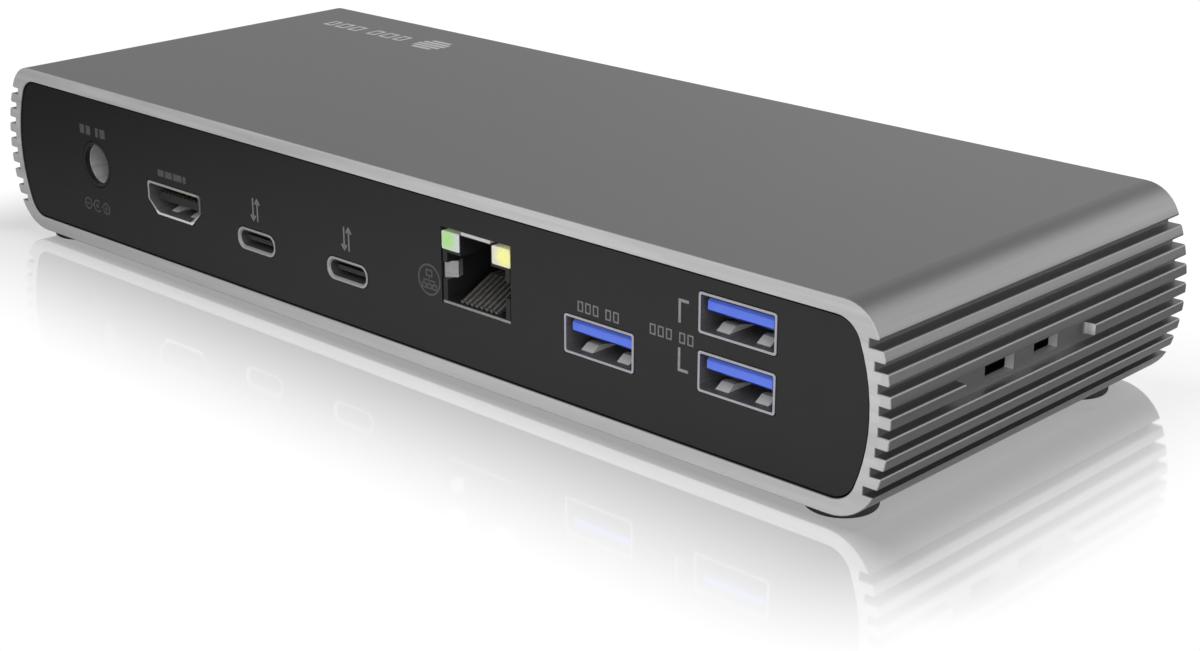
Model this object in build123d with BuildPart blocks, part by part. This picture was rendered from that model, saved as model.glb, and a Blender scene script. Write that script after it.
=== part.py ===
from build123d import *
import math
import os

os.makedirs("parts", exist_ok=True)

# Laptop docking station. A finned aluminium extrusion is open at both ends;
# each end is closed by a screwed bracket and a bonded black panel. All the
# connectors sit on one circuit board that slides in two rails.
# Frame: origin under the centre on the surface it stands on, +Z up, +X along
# the length, -Y out of the rear port panel, +Y out of the front panel. mm.

# ---------------------------------------------------------------- enclosure
WIDTH = 195.0            # over the fin tips
DEPTH = 72.0             # cut length of the extrusion
HEIGHT = 29.4            # extrusion only
FOOT_H = 1.0             # foot standing out under the extrusion
SIDE_R = 27.5            # bulge of the sides, over the fin tips
CORNER_R = 6.0
LOWER_CORNER_R = 8.0     # the lower corners are rounder
WALL_TOP = 2.35          # top and bottom wall
WALL_SIDE = 3.3          # fin tip to the inside
INNER_SIDE_R = 26.0
INNER_CORNER_R = 4.0
FIN_PITCH = 2.81
GROOVE_W = 1.15
GROOVE_DEPTH = 1.8
GROOVES = 8              # seven fins between them
FIN_TIP_R = 0.3          # rounding of the fin tips
FIN_ROOT_R = 0.12
END_BREAK = 0.12         # broken edges of both cut ends
BOSS_X = 86.5            # screw channels for the end brackets
BOSS_DZ = 9.8
BOSS_R = 2.3
SCREW_CORE_R = 1.25
ZB = FOOT_H
ZC = ZB + HEIGHT / 2

# --------------------------------------------------------------- end closure
RECESS = 0.3             # panel face below the cut rim
PANEL_T = 1.2
TAPE_T = 0.2
BRACKET_T = 1.8
EDGE_GAP = 0.25          # panel to extrusion
PANEL_Y = DEPTH / 2 - RECESS              # outer face of both panels
TAPE_Y = PANEL_Y - PANEL_T                # tape outer face
BRACKET_Y = TAPE_Y - TAPE_T               # bracket outer face
BOSS_Y = BRACKET_Y - BRACKET_T            # ends of channels and rails
FACE_Y = PANEL_Y + 0.1                    # front plane of the metal connectors

# --------------------------------------------------------------------- board
PCB_T = 1.6
PCB_Z = 10.0             # top face of the board
PCB_W = 184.0
PCB_D = 64.4
RAIL_X = 90.3
RAIL_GAP = 0.06

# ------------------------------------------------------- connector positions
DC_X, DC_Z = -71.1, 16.4
HDMI_X, HDMI_Z = -48.95, 13.9
USBC_Z = 12.0
USBC_XS = (-27.2, -4.9)
RJ_X = 23.7
RJ_Z0, RJ_Z1 = 12.25, 24.0                # panel opening over the jack
RJ_W = 14.5
USBA_X, USBA_Z = 48.15, 13.9
DUAL_X, DUAL_ZL, DUAL_ZH = 72.7, 14.65, 22.85
USBA_W, USBA_H, USBA_T = 13.1, 5.75, 0.35
USBC_W, USBC_H = 9.5, 3.7
USBC_IW, USBC_IH = 8.34, 2.56

HOST_X = -24.0                            # front panel, seen from +Y
AUDIO_X, AUDIO_Z = 4.0, 12.7
CARD_X, CARD_Z = 40.0, 11.75
CARD_W, CARD_H = 24.6, 2.5
LIGHT_X, LIGHT_Z = 66.0, ZC
BTN_X, BTN_Z, BTN_R = 79.0, ZC, 3.7
SWITCH_Z = 13.4
TRAVEL = 0.4                              # power button stroke

# --------------------------------------------------------------------- feet
FOOT_R = 5.0
FOOT_X_LEFT, FOOT_X_RIGHT = -85.0, 86.4   # the left pair stands a little further in
FOOT_Y_REAR, FOOT_Y_FRONT = -30.4, 25.7   # the rear pair stands nearer its end
FOOT_SEAT = 0.6
FOOT_SPOTS = [(x, y) for x in (FOOT_X_LEFT, FOOT_X_RIGHT)
              for y in (FOOT_Y_REAR, FOOT_Y_FRONT)]


def xz(y):
    """Sketch plane at this Y: local x is +X, local y is +Z."""
    return Plane.XZ.offset(-y)


def xy(z):
    return Plane.XY.offset(z)


def save(piece, name):
    piece.part.label = name
    export_step(piece.part, "parts/" + name + ".step")


def case_outline(half_w, half_h, side_r, corner_r, lower_r=None):
    """Flat top and bottom, bulged sides, rounded corners, about (0, ZC)."""
    cx = half_w - side_r
    xe = cx + math.sqrt(side_r**2 - half_h**2)
    with BuildSketch() as s:
        with BuildLine():
            Line((-xe, half_h), (xe, half_h))
            ThreePointArc((xe, half_h), (half_w, 0), (xe, -half_h))
            Line((xe, -half_h), (-xe, -half_h))
            ThreePointArc((-xe, -half_h), (-half_w, 0), (-xe, half_h))
        make_face()
        fillet([v for v in s.vertices() if v.Y > 0], corner_r)
        fillet([v for v in s.vertices() if v.Y < -half_h + 0.01
                and abs(abs(v.X) - xe) < 0.01], lower_r or corner_r)
    return s.sketch


outer_shape = case_outline(WIDTH / 2, HEIGHT / 2, SIDE_R, CORNER_R, LOWER_CORNER_R)
inner_shape = case_outline(WIDTH / 2 - WALL_SIDE, HEIGHT / 2 - WALL_TOP,
                           INNER_SIDE_R, INNER_CORNER_R)
panel_shape = case_outline(WIDTH / 2 - WALL_SIDE - EDGE_GAP,
                           HEIGHT / 2 - WALL_TOP - EDGE_GAP,
                           INNER_SIDE_R - EDGE_GAP, INNER_CORNER_R - EDGE_GAP)


def hdmi_outline(grow):
    """Flat-topped outline with cut lower corners, about (0, 0)."""
    w, h = 7.25 + grow, 2.75 + grow
    with BuildSketch() as s:
        with BuildLine():
            Polyline((-w, h), (w, h), (w, -0.45), (w - 2.5, -h),
                     (-w + 2.5, -h), (-w, -0.45), close=True)
        make_face()
        fillet(s.vertices(), 0.55)
    return s.sketch


# ====================================================== 1 enclosure extrusion
groove_zs = [(k - (GROOVES - 1) / 2) * FIN_PITCH for k in range(GROOVES)]
POCKET_Y0, POCKET_Y1 = -19.8, 11.2        # fin 4 milled away between these
POCKET_R = 0.8                            # radius at the foot of its two ends
SLOT_A_Y, SLOT_A = -9.4, (7.0, 3.0)       # security slot, wide
SLOT_B_Y, SLOT_B = 1.7, (6.0, 2.5)        # security slot, narrow

with BuildPart() as enclosure:
    with BuildSketch(xz(-DEPTH / 2)) as fin_profile:
        with Locations((0, ZC)):
            add(outer_shape)
        for gz in groove_zs:
            floor_x = (WIDTH / 2 - SIDE_R) + math.sqrt(
                (SIDE_R - GROOVE_DEPTH) ** 2 - gz**2)
            with Locations((floor_x + 5, ZC + gz), (-floor_x - 5, ZC + gz)):
                Rectangle(10, GROOVE_W, mode=Mode.SUBTRACT)
        side_corners = [v for v in fin_profile.vertices()
                        if abs(v.Y - ZC) < groove_zs[-1] + GROOVE_W / 2 + 0.01]
        tips = [v for v in side_corners
                if math.hypot(abs(v.X) - (WIDTH / 2 - SIDE_R), v.Y - ZC) > SIDE_R - 0.01]
        roots = [v for v in side_corners
                 if math.hypot(abs(v.X) - (WIDTH / 2 - SIDE_R), v.Y - ZC) < SIDE_R - 1.0]
        fillet(tips, FIN_TIP_R)
        fillet(roots, FIN_ROOT_R)
        with Locations((0, ZC)):
            add(inner_shape, mode=Mode.SUBTRACT)
    extrude(amount=-DEPTH)
    # both cut ends have their edges broken
    chamfer(enclosure.edges().filter_by_position(Axis.Y, -DEPTH / 2, -DEPTH / 2)
            + enclosure.edges().filter_by_position(Axis.Y, DEPTH / 2, DEPTH / 2),
            END_BREAK)
    # screw channels and board rails, set back from both ends
    with BuildSketch(xz(-BOSS_Y)):
        with Locations(*[(sx * BOSS_X, ZC + sz * BOSS_DZ)
                         for sx in (-1, 1) for sz in (-1, 1)]):
            Circle(BOSS_R)
        with Locations(*[(sx * BOSS_X, ZC + sz * (BOSS_DZ + 1.6))
                         for sx in (-1, 1) for sz in (-1, 1)]):
            Rectangle(3.8, 3.2)
        with Locations(*[(sx * (RAIL_X + 2.0), z)
                         for sx in (-1, 1)
                         for z in (PCB_Z - PCB_T - RAIL_GAP - 0.5,
                                   PCB_Z + RAIL_GAP + 0.5)]):
            Rectangle(4.0, 1.0)
        with Locations(*[(sx * BOSS_X, ZC + sz * BOSS_DZ)
                         for sx in (-1, 1) for sz in (-1, 1)]):
            Circle(SCREW_CORE_R, mode=Mode.SUBTRACT)
    extrude(amount=-2 * BOSS_Y)
    # milled pocket in the right side, with rounded ends, and two slots
    px = WIDTH / 2 - GROOVE_DEPTH - 0.05
    with BuildSketch(xy(ZC - FIN_PITCH / 2 - 0.2)):
        with BuildLine():
            Line((px, POCKET_Y0 + POCKET_R), (px, POCKET_Y1 - POCKET_R))
            RadiusArc((px, POCKET_Y1 - POCKET_R), (px + POCKET_R, POCKET_Y1), POCKET_R)
            Polyline((px + POCKET_R, POCKET_Y1), (WIDTH / 2 + 0.4, POCKET_Y1),
                     (WIDTH / 2 + 0.4, POCKET_Y0), (px + POCKET_R, POCKET_Y0))
            RadiusArc((px + POCKET_R, POCKET_Y0), (px, POCKET_Y0 + POCKET_R), POCKET_R)
        make_face()
    extrude(amount=FIN_PITCH + 0.4, mode=Mode.SUBTRACT)
    with BuildSketch(Plane.YZ.offset(WIDTH / 2 + 1)):
        with Locations((SLOT_A_Y, ZC)):
            RectangleRounded(SLOT_A[0], SLOT_A[1], 0.4)
        with Locations((SLOT_B_Y, ZC)):
            RectangleRounded(SLOT_B[0], SLOT_B[1], 0.35)
    extrude(amount=-6.0, mode=Mode.SUBTRACT)
    # shallow round seats for the feet
    with BuildSketch(xy(ZB)):
        with Locations(*FOOT_SPOTS):
            Circle(FOOT_R + 0.1)
    extrude(amount=FOOT_SEAT, mode=Mode.SUBTRACT)
save(enclosure, "enclosure_extrusion")

# steel cup bonded behind the two security slots: it takes the pull of a lock
# and keeps dust out of the case
CUP_Y0, CUP_Y1 = -14.5, 6.5
CUP_Z0, CUP_Z1 = 11.4, 20.2
CUP_X, CUP_T = 88.9, 0.6
cup_wall = case_outline(WIDTH / 2 - WALL_SIDE - 0.02, HEIGHT / 2 - WALL_TOP - 0.02,
                        INNER_SIDE_R - 0.02, INNER_CORNER_R - 0.02)
with BuildPart() as lock_cup:
    with BuildSketch(xz(CUP_Y0)):
        with Locations((CUP_X + 4.0, (CUP_Z0 + CUP_Z1) / 2)):
            Rectangle(8.0, CUP_Z1 - CUP_Z0)
        with Locations((0, ZC)):
            add(cup_wall, mode=Mode.INTERSECT)
    extrude(amount=-(CUP_Y1 - CUP_Y0))
    with BuildSketch(xz(CUP_Y0 + CUP_T)):
        with Locations((CUP_X + CUP_T + 5.0, (CUP_Z0 + CUP_Z1) / 2)):
            Rectangle(10.0, CUP_Z1 - CUP_Z0 - 2 * CUP_T)
    extrude(amount=-(CUP_Y1 - CUP_Y0 - 2 * CUP_T), mode=Mode.SUBTRACT)
save(lock_cup, "lock_slot_cup")


# ============================================================ 2 end closures
def rear_cutouts(gap):
    """Every rear opening, grown by gap."""
    with BuildSketch() as s:
        with Locations((DC_X, DC_Z)):
            Circle(4.0 + gap)
        with Locations((HDMI_X, HDMI_Z)):
            add(hdmi_outline(gap))
        with Locations(*[(x, USBC_Z) for x in USBC_XS]):
            RectangleRounded(USBC_W + 2 * gap, USBC_H + 2 * gap, 1.6 + gap)
        with Locations((RJ_X, (RJ_Z0 + RJ_Z1) / 2)):
            Rectangle(RJ_W, RJ_Z1 - RJ_Z0)
        with Locations((USBA_X, USBA_Z), (DUAL_X, DUAL_ZL), (DUAL_X, DUAL_ZH)):
            RectangleRounded(USBA_W + 2 * gap, USBA_H + 2 * gap, 0.45 + gap)
    return s.sketch


def front_cutouts(gap):
    with BuildSketch() as s:
        with Locations((HOST_X, USBC_Z)):
            RectangleRounded(USBC_W + 2 * gap, USBC_H + 2 * gap, 1.6 + gap)
        with Locations((AUDIO_X, AUDIO_Z)):
            Circle(2.9 + gap)
        with Locations((CARD_X, CARD_Z)):
            RectangleRounded(CARD_W + 2 * gap, CARD_H + 2 * gap, 0.5)
        with Locations((LIGHT_X, LIGHT_Z)):
            Circle(1.0 + gap)
        with Locations((BTN_X, BTN_Z)):
            Circle(BTN_R + 0.05 + gap)
    return s.sketch


SCREW_SPOTS = [(sx * BOSS_X, ZC + sz * BOSS_DZ)
               for sx in (-1, 1) for sz in (-1, 1)]
rear_cut = rear_cutouts(0.15)
rear_cut_wide = rear_cutouts(0.35)
front_cut = front_cutouts(0.15)
front_cut_wide = front_cutouts(0.35)

with BuildPart() as rear_panel:
    with BuildSketch(xz(-PANEL_Y)):
        with Locations((0, ZC)):
            add(panel_shape)
        add(rear_cut, mode=Mode.SUBTRACT)
    extrude(amount=-PANEL_T)
save(rear_panel, "rear_panel")

with BuildPart() as rear_tape:
    with BuildSketch(xz(-TAPE_Y)):
        with Locations((0, ZC)):
            add(panel_shape)
        add(rear_cut_wide, mode=Mode.SUBTRACT)
    extrude(amount=-TAPE_T)
save(rear_tape, "rear_panel_tape")

with BuildPart() as rear_bracket:
    with BuildSketch(xz(-BRACKET_Y)):
        with Locations((0, ZC)):
            add(panel_shape)
        add(rear_cut_wide, mode=Mode.SUBTRACT)
    extrude(amount=-BRACKET_T)
    with Locations(*[Location(Plane(origin=(x, -BRACKET_Y, z),
                                    x_dir=(1, 0, 0), z_dir=(0, -1, 0)))
                     for x, z in SCREW_SPOTS]):
        CounterSinkHole(radius=1.5, counter_sink_radius=2.35, depth=BRACKET_T,
                        counter_sink_angle=90)
save(rear_bracket, "rear_bracket")

with BuildPart() as front_panel:
    with BuildSketch(xz(PANEL_Y)):
        with Locations((0, ZC)):
            add(panel_shape)
        add(front_cut, mode=Mode.SUBTRACT)
    extrude(amount=PANEL_T)
save(front_panel, "front_panel")

with BuildPart() as front_tape:
    with BuildSketch(xz(TAPE_Y)):
        with Locations((0, ZC)):
            add(panel_shape)
        add(front_cut_wide, mode=Mode.SUBTRACT)
    extrude(amount=TAPE_T)
save(front_tape, "front_panel_tape")

with BuildPart() as front_bracket:
    with BuildSketch(xz(BRACKET_Y)):
        with Locations((0, ZC)):
            add(panel_shape)
        add(front_cut_wide, mode=Mode.SUBTRACT)
    extrude(amount=BRACKET_T)
    with Locations(*[Location(Plane(origin=(x, BRACKET_Y, z),
                                    x_dir=(1, 0, 0), z_dir=(0, 1, 0)))
                     for x, z in SCREW_SPOTS]):
        CounterSinkHole(radius=1.5, counter_sink_radius=2.35, depth=BRACKET_T,
                        counter_sink_angle=90)
save(front_bracket, "front_bracket")


# eight countersunk thread-forming screws, four at each end
with BuildPart() as bracket_screws:
    for side in (-1, 1):
        y0 = side * (BRACKET_Y - 0.1)
        for x, z in SCREW_SPOTS:
            with BuildSketch(Plane(origin=(x, 0, z), x_dir=(1, 0, 0),
                                   z_dir=(0, 0, 1))):
                with BuildLine():
                    Polyline((0, y0), (2.15, y0), (1.22, y0 - side * 0.95),
                             (1.22, y0 - side * 8.2), (0.5, y0 - side * 9.4),
                             (0, y0 - side * 9.4), close=True)
                make_face()
            revolve(axis=Axis((x, 0, z), (0, 1, 0)))
            with BuildSketch(Plane(origin=(x, y0, z), x_dir=(1, 0, 0),
                                   z_dir=(0, side, 0))):
                RegularPolygon(0.85, 6)
            extrude(amount=-0.9, mode=Mode.SUBTRACT)
save(bracket_screws, "bracket_screws")

# ==================================================================== 3 feet
for (fx, fy), foot_name in zip(FOOT_SPOTS, ("foot_rear_left", "foot_front_left",
                                            "foot_rear_right", "foot_front_right")):
    with BuildPart() as foot:
        with BuildSketch(xy(0)):
            with Locations((fx, fy)):
                Circle(FOOT_R)
        extrude(amount=FOOT_H + FOOT_SEAT)
        fillet(foot.edges().filter_by(GeomType.CIRCLE).group_by(Axis.Z)[0], 0.45)
    save(foot, foot_name)

# =================================================================== 4 board
SPREADER_LEGS = [(-41, -3), (16, -3), (-41, 20), (16, 20)]
with BuildPart() as board:
    with BuildSketch(xy(PCB_Z - PCB_T)):
        Rectangle(PCB_W, PCB_D)
        with Locations(*SPREADER_LEGS):
            Circle(1.45, mode=Mode.SUBTRACT)
    extrude(amount=PCB_T)
save(board, "main_board")

# ================================================================= 5 DC inlet
with BuildPart() as dc_housing:
    with BuildSketch(xy(PCB_Z)):
        with Locations((DC_X, -BOSS_Y + 7.6)):
            Rectangle(9.0, 14.0)
    extrude(amount=DC_Z + 4.6 - PCB_Z)
    with BuildSketch(xz(-PANEL_Y)):
        with Locations((DC_X, DC_Z)):
            Circle(4.0)
    extrude(amount=-(PANEL_Y - BOSS_Y + 0.7))
    with BuildSketch(xz(-PANEL_Y)):
        with Locations((DC_X, DC_Z)):
            Circle(3.5)
    extrude(amount=-12.0, mode=Mode.SUBTRACT)
save(dc_housing, "dc_jack_housing")

with BuildPart() as dc_sleeve:
    # set back 1 mm, so the black mouth shows in front of it
    with BuildSketch(xz(-PANEL_Y + 1.0)):
        with Locations((DC_X, DC_Z)):
            Circle(3.48)
            Circle(3.3, mode=Mode.SUBTRACT)
    extrude(amount=-10.8)
save(dc_sleeve, "dc_jack_sleeve")

with BuildPart() as dc_pin:
    with BuildSketch(xz(-PANEL_Y + 3.0)):
        with Locations((DC_X, DC_Z)):
            Circle(1.25)
    extrude(amount=-9.0)
    chamfer(dc_pin.edges().filter_by(GeomType.CIRCLE).sort_by(Axis.Y)[0], 0.5)
save(dc_pin, "dc_jack_pin")

# ==================================================================== 6 HDMI
with BuildPart() as hdmi_shell:
    with BuildSketch(xz(-FACE_Y)):
        with Locations((HDMI_X, HDMI_Z)):
            add(hdmi_outline(0))
    extrude(amount=-11.5)
    with BuildSketch(xz(-FACE_Y)):
        with Locations((HDMI_X, HDMI_Z)):
            add(hdmi_outline(-0.4))
    extrude(amount=-11.1, mode=Mode.SUBTRACT)
    # springs pressed in from the top and bottom walls
    for dx in (-2.6, 2.6):
        for s in (-1, 1):
            zw = HDMI_Z + s * 2.45
            with BuildSketch(Plane(origin=(HDMI_X + dx - 0.8, 0, 0),
                                   x_dir=(0, 1, 0), z_dir=(1, 0, 0))):
                with BuildLine():
                    Polyline((-FACE_Y + 1.4, zw), (-FACE_Y + 3.4, zw - s * 0.75),
                             (-FACE_Y + 5.6, zw), (-FACE_Y + 5.6, zw + s * 0.2),
                             (-FACE_Y + 1.4, zw + s * 0.2), close=True)
                make_face()
            extrude(amount=1.6)
    # four legs stand on the board
    with BuildSketch(xy(PCB_Z)):
        with Locations(*[(HDMI_X + sx * 7.05, -FACE_Y + d)
                         for sx in (-1, 1) for d in (5.2, 10.0)]):
            Rectangle(0.4, 1.8)
    extrude(amount=HDMI_Z - PCB_Z)
save(hdmi_shell, "hdmi_shell")

with BuildPart() as hdmi_tongue:
    with BuildSketch(xz(-FACE_Y + 1.2)):
        with Locations((HDMI_X, HDMI_Z + 0.15)):
            Rectangle(10.6, 1.3)
    extrude(amount=-8.0)
    with BuildSketch(xz(-FACE_Y + 9.2)):
        with Locations((HDMI_X, HDMI_Z + 0.5)):
            Rectangle(11.4, 3.0)
    extrude(amount=-1.7)
save(hdmi_tongue, "hdmi_tongue")

with BuildPart() as hdmi_contacts:
    with BuildSketch(xz(-FACE_Y + 1.5)):
        with Locations(*[(HDMI_X + (i - 4.5) * 1.0, HDMI_Z + 0.15 + 0.71)
                         for i in range(10)]):
            Rectangle(0.4, 0.12)
        with Locations(*[(HDMI_X + (i - 4) * 1.0, HDMI_Z + 0.15 - 0.71)
                         for i in range(9)]):
            Rectangle(0.4, 0.12)
    extrude(amount=-7.0)
save(hdmi_contacts, "hdmi_contacts")


# ============================================================ 7 USB-C sockets
def usbc_shell(x, side):
    """side -1 opens to the rear, +1 to the front."""
    y0 = side * FACE_Y
    with BuildPart() as shell:
        with BuildSketch(Plane(origin=(x, y0, USBC_Z), x_dir=(1, 0, 0),
                               z_dir=(0, -1, 0))):
            RectangleRounded(USBC_W, USBC_H, 1.6)
        extrude(amount=side * 9.0)
        with BuildSketch(Plane(origin=(x, y0, USBC_Z), x_dir=(1, 0, 0),
                               z_dir=(0, -1, 0))):
            RectangleRounded(USBC_IW, USBC_IH, 1.2)
        extrude(amount=side * 8.3, mode=Mode.SUBTRACT)
        inner = shell.edges().group_by(Axis.Y)[0 if side < 0 else -1]
        rim = [e for e in inner
               if abs(e.center().Z - USBC_Z) < USBC_IH / 2 + 0.1
               and abs(e.center().X - x) < USBC_IW / 2 + 0.1]
        chamfer(rim, 0.25)
        with BuildSketch(xy(PCB_Z)):
            with Locations(*[(x + sx * 4.52, side * (FACE_Y - d))
                             for sx in (-1, 1) for d in (4.8, 8.0)]):
                Rectangle(0.4, 1.2)
        extrude(amount=USBC_Z - PCB_Z)
    return shell


def usbc_tongue(x, side):
    y0 = side * (FACE_Y - 1.0)
    with BuildPart() as tongue:
        with BuildSketch(Plane(origin=(x, y0, USBC_Z), x_dir=(1, 0, 0),
                               z_dir=(0, -1, 0))):
            RectangleRounded(6.7, 0.7, 0.2)
        extrude(amount=side * 5.4)
        with BuildSketch(Plane(origin=(x, y0 - side * 5.3, USBC_Z),
                               x_dir=(1, 0, 0), z_dir=(0, -1, 0))):
            RectangleRounded(8.2, 2.4, 1.1)
        extrude(amount=side * 1.9)
    return tongue


for ux, uside, uname in ((USBC_XS[0], -1, "usb_c_rear_left"),
                         (USBC_XS[1], -1, "usb_c_rear_right"),
                         (HOST_X, 1, "usb_c_host")):
    save(usbc_shell(ux, uside), uname + "_shell")
    save(usbc_tongue(ux, uside), uname + "_tongue")

# ============================================================ 8 Ethernet jack
RJ_FACE = PANEL_Y - 0.1
RJ_TOP = RJ_Z1 + 0.35
RJ_HW = 7.95                              # half width of the jack
RJ_L = 24.0
RJ_OPEN_HW = 6.1
RJ_FLOOR = RJ_Z0 + 0.55
RJ_ROOF = 20.2
RJ_BODY_Y = -BOSS_Y + 0.35                # front of the wide body
RJ_NOSE_HW = RJ_W / 2 - 0.3
RJ_NOSE_Z0, RJ_NOSE_Z1 = RJ_Z0 + 0.45, RJ_Z1 - 0.62
SPRING_Z0, SPRING_Z1 = 16.0, 18.6
WIRE_RISE = (1.0, 6.6, 2.8)               # start, end behind the face; height
RJ_DEEP = 14.0                            # cavity behind the face
LIGHT_DX, LIGHT_MID = 5.25, 21.99         # centres of the two light windows
LIGHT_W, LIGHT_H = 3.7, 2.74


def ramp(x0, width, drop, start_z):
    """Sloping strip on the floor of the jack, drop below the wires."""
    a, b, h = WIRE_RISE
    with BuildPart() as strip:
        with BuildSketch(Plane(origin=(x0, 0, 0), x_dir=(0, 1, 0),
                               z_dir=(1, 0, 0))):
            with BuildLine():
                Polyline((-RJ_FACE + a, start_z), (-RJ_FACE + a, RJ_FLOOR - drop + 0.03),
                         (-RJ_FACE + b, RJ_FLOOR + h - drop),
                         (-RJ_FACE + RJ_DEEP + 0.05, RJ_FLOOR + h - drop),
                         (-RJ_FACE + RJ_DEEP + 0.05, start_z), close=True)
            make_face()
        extrude(amount=width)
    return strip.part


comb_ribs = [ramp(RJ_X + k * 1.02 - 0.15, 0.3, -0.1, RJ_FLOOR - 0.05)
             for k in range(-4, 6)]

with BuildPart() as rj_housing:
    with BuildSketch(xy(PCB_Z)):
        with Locations((RJ_X, RJ_BODY_Y + (RJ_L - 3.6) / 2)):
            Rectangle(2 * RJ_HW - 0.6, RJ_L - 3.6)
    extrude(amount=RJ_TOP - 0.3 - PCB_Z)
    with BuildSketch(xz(-RJ_FACE)):
        with Locations((RJ_X, (RJ_NOSE_Z0 + RJ_NOSE_Z1) / 2)):
            Rectangle(2 * RJ_NOSE_HW, RJ_NOSE_Z1 - RJ_NOSE_Z0)
    extrude(amount=-(RJ_FACE + RJ_BODY_Y + 0.5))
    with BuildSketch(xz(-RJ_FACE)):
        with Locations((RJ_X, (RJ_FLOOR + RJ_ROOF) / 2)):
            Rectangle(2 * RJ_OPEN_HW, RJ_ROOF - RJ_FLOOR)
        with Locations((RJ_X, (RJ_ROOF + RJ_NOSE_Z1 - 0.08) / 2 - 0.1)):
            Rectangle(6.4, RJ_NOSE_Z1 - 0.08 - RJ_ROOF + 0.2)
    extrude(amount=-RJ_DEEP, mode=Mode.SUBTRACT)
    # notches that let the side springs fold round the front edge
    with BuildSketch(xz(-RJ_FACE)):
        with Locations(*[(RJ_X + s * 6.7, (SPRING_Z0 + SPRING_Z1) / 2)
                         for s in (-1, 1)]):
            Rectangle(1.4, SPRING_Z1 - SPRING_Z0)
    extrude(amount=-2.8, mode=Mode.SUBTRACT)
    # comb between the contact wires
    for rib in comb_ribs:
        add(rib)
    # seats for the two light pipes
    with BuildSketch(xz(-RJ_FACE)):
        with Locations((RJ_X - LIGHT_DX, LIGHT_MID), (RJ_X + LIGHT_DX, LIGHT_MID)):
            Rectangle(LIGHT_W + 0.08, LIGHT_H + 0.08)
    extrude(amount=-16.0, mode=Mode.SUBTRACT)
save(rj_housing, "ethernet_housing")

with BuildPart() as rj_shield:
    # folded can round the body
    with BuildSketch(xz(-BOSS_Y + 0.1)):
        with Locations((RJ_X, (PCB_Z + RJ_TOP) / 2)):
            Rectangle(2 * RJ_HW, RJ_TOP - PCB_Z)
        with Locations((RJ_X, (PCB_Z + RJ_TOP - 0.28) / 2)):
            Rectangle(2 * RJ_HW - 0.56, RJ_TOP - 0.28 - PCB_Z,
                      mode=Mode.SUBTRACT)
    extrude(amount=-(RJ_L - 3.2))
    # front flange with a window for the plastic nose
    with BuildSketch(xz(-BOSS_Y + 0.02)):
        with Locations((RJ_X, (PCB_Z + RJ_TOP) / 2)):
            Rectangle(2 * RJ_HW, RJ_TOP - PCB_Z)
        with Locations((RJ_X, (RJ_NOSE_Z0 + RJ_NOSE_Z1) / 2)):
            Rectangle(2 * RJ_NOSE_HW + 0.04, RJ_NOSE_Z1 - RJ_NOSE_Z0 + 0.04,
                      mode=Mode.SUBTRACT)
        with Locations((RJ_X - LIGHT_DX, LIGHT_MID), (RJ_X + LIGHT_DX, LIGHT_MID)):
            Rectangle(LIGHT_W + 0.1, LIGHT_H + 0.1, mode=Mode.SUBTRACT)
    extrude(amount=-(RJ_BODY_Y + BOSS_Y - 0.04))
    # bright collar seen below and above the mouth
    with BuildSketch(xz(-RJ_FACE)):
        with Locations((RJ_X, RJ_Z0 + 0.23)):
            Rectangle(RJ_W - 0.5, 0.38)
        with Locations((RJ_X, RJ_Z1 - 0.33)):
            Rectangle(6.0, 0.5)
    extrude(amount=-(RJ_FACE + RJ_BODY_Y - 0.1))
    # side strips, set back behind the face
    side_x = RJ_W / 2 - 0.16
    with BuildSketch(xz(-RJ_FACE + 0.6)):
        with Locations(*[(RJ_X + s * side_x, (RJ_Z0 + 0.1 + SPRING_Z1) / 2)
                         for s in (-1, 1)]):
            Rectangle(0.22, SPRING_Z1 - RJ_Z0 - 0.1)
    extrude(amount=-(RJ_FACE - 0.6 + RJ_BODY_Y - 0.1))
    # springs folded from the side strips round the front edge into the mouth
    for s in (-1, 1):
        with BuildSketch(xy(SPRING_Z0 + 0.05)):
            with BuildLine():
                Polyline(*[(RJ_X + s * u, -RJ_FACE + 0.3 + v) for u, v in (
                    (side_x + 0.11, 1.2), (side_x + 0.11, 0.25), (side_x - 0.04, 0.05),
                    (side_x - 0.24, 0.05), (5.55, 1.45), (5.85, 2.6), (6.07, 2.55),
                    (5.82, 1.5), (side_x - 0.19, 0.33), (side_x - 0.11, 0.45),
                    (side_x - 0.11, 1.2))], close=True)
            make_face()
        extrude(amount=SPRING_Z1 - SPRING_Z0 - 0.1)
save(rj_shield, "ethernet_shield")

with BuildPart() as rj_contacts:
    # eight wires, low at the mouth, rising inwards
    a, b, h = WIRE_RISE
    for i in range(8):
        cxp = RJ_X + (i - 3.5) * 1.02
        with BuildSketch(Plane(origin=(cxp - 0.22, 0, 0), x_dir=(0, 1, 0),
                               z_dir=(1, 0, 0))):
            with BuildLine():
                Polyline((-RJ_FACE + 0.5, RJ_FLOOR + 0.02),
                         (-RJ_FACE + a, RJ_FLOOR + 0.02),
                         (-RJ_FACE + b, RJ_FLOOR + h),
                         (-RJ_FACE + RJ_DEEP - 0.05, RJ_FLOOR + h),
                         (-RJ_FACE + RJ_DEEP - 0.05, RJ_FLOOR + h + 0.35),
                         (-RJ_FACE + b, RJ_FLOOR + h + 0.35),
                         (-RJ_FACE + a - 0.1, RJ_FLOOR + 0.37),
                         (-RJ_FACE + 0.5, RJ_FLOOR + 0.37), close=True)
            make_face()
        extrude(amount=0.44)
save(rj_contacts, "ethernet_contacts")

for s, lname in ((-1, "ethernet_light_green"), (1, "ethernet_light_yellow")):
    with BuildPart() as pipe:
        with BuildSketch(xz(-RJ_FACE - 0.03)):
            with Locations((RJ_X + s * LIGHT_DX, LIGHT_MID)):
                RectangleRounded(LIGHT_W, LIGHT_H, 0.25)
        extrude(amount=-15.0)
    save(pipe, lname)


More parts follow.
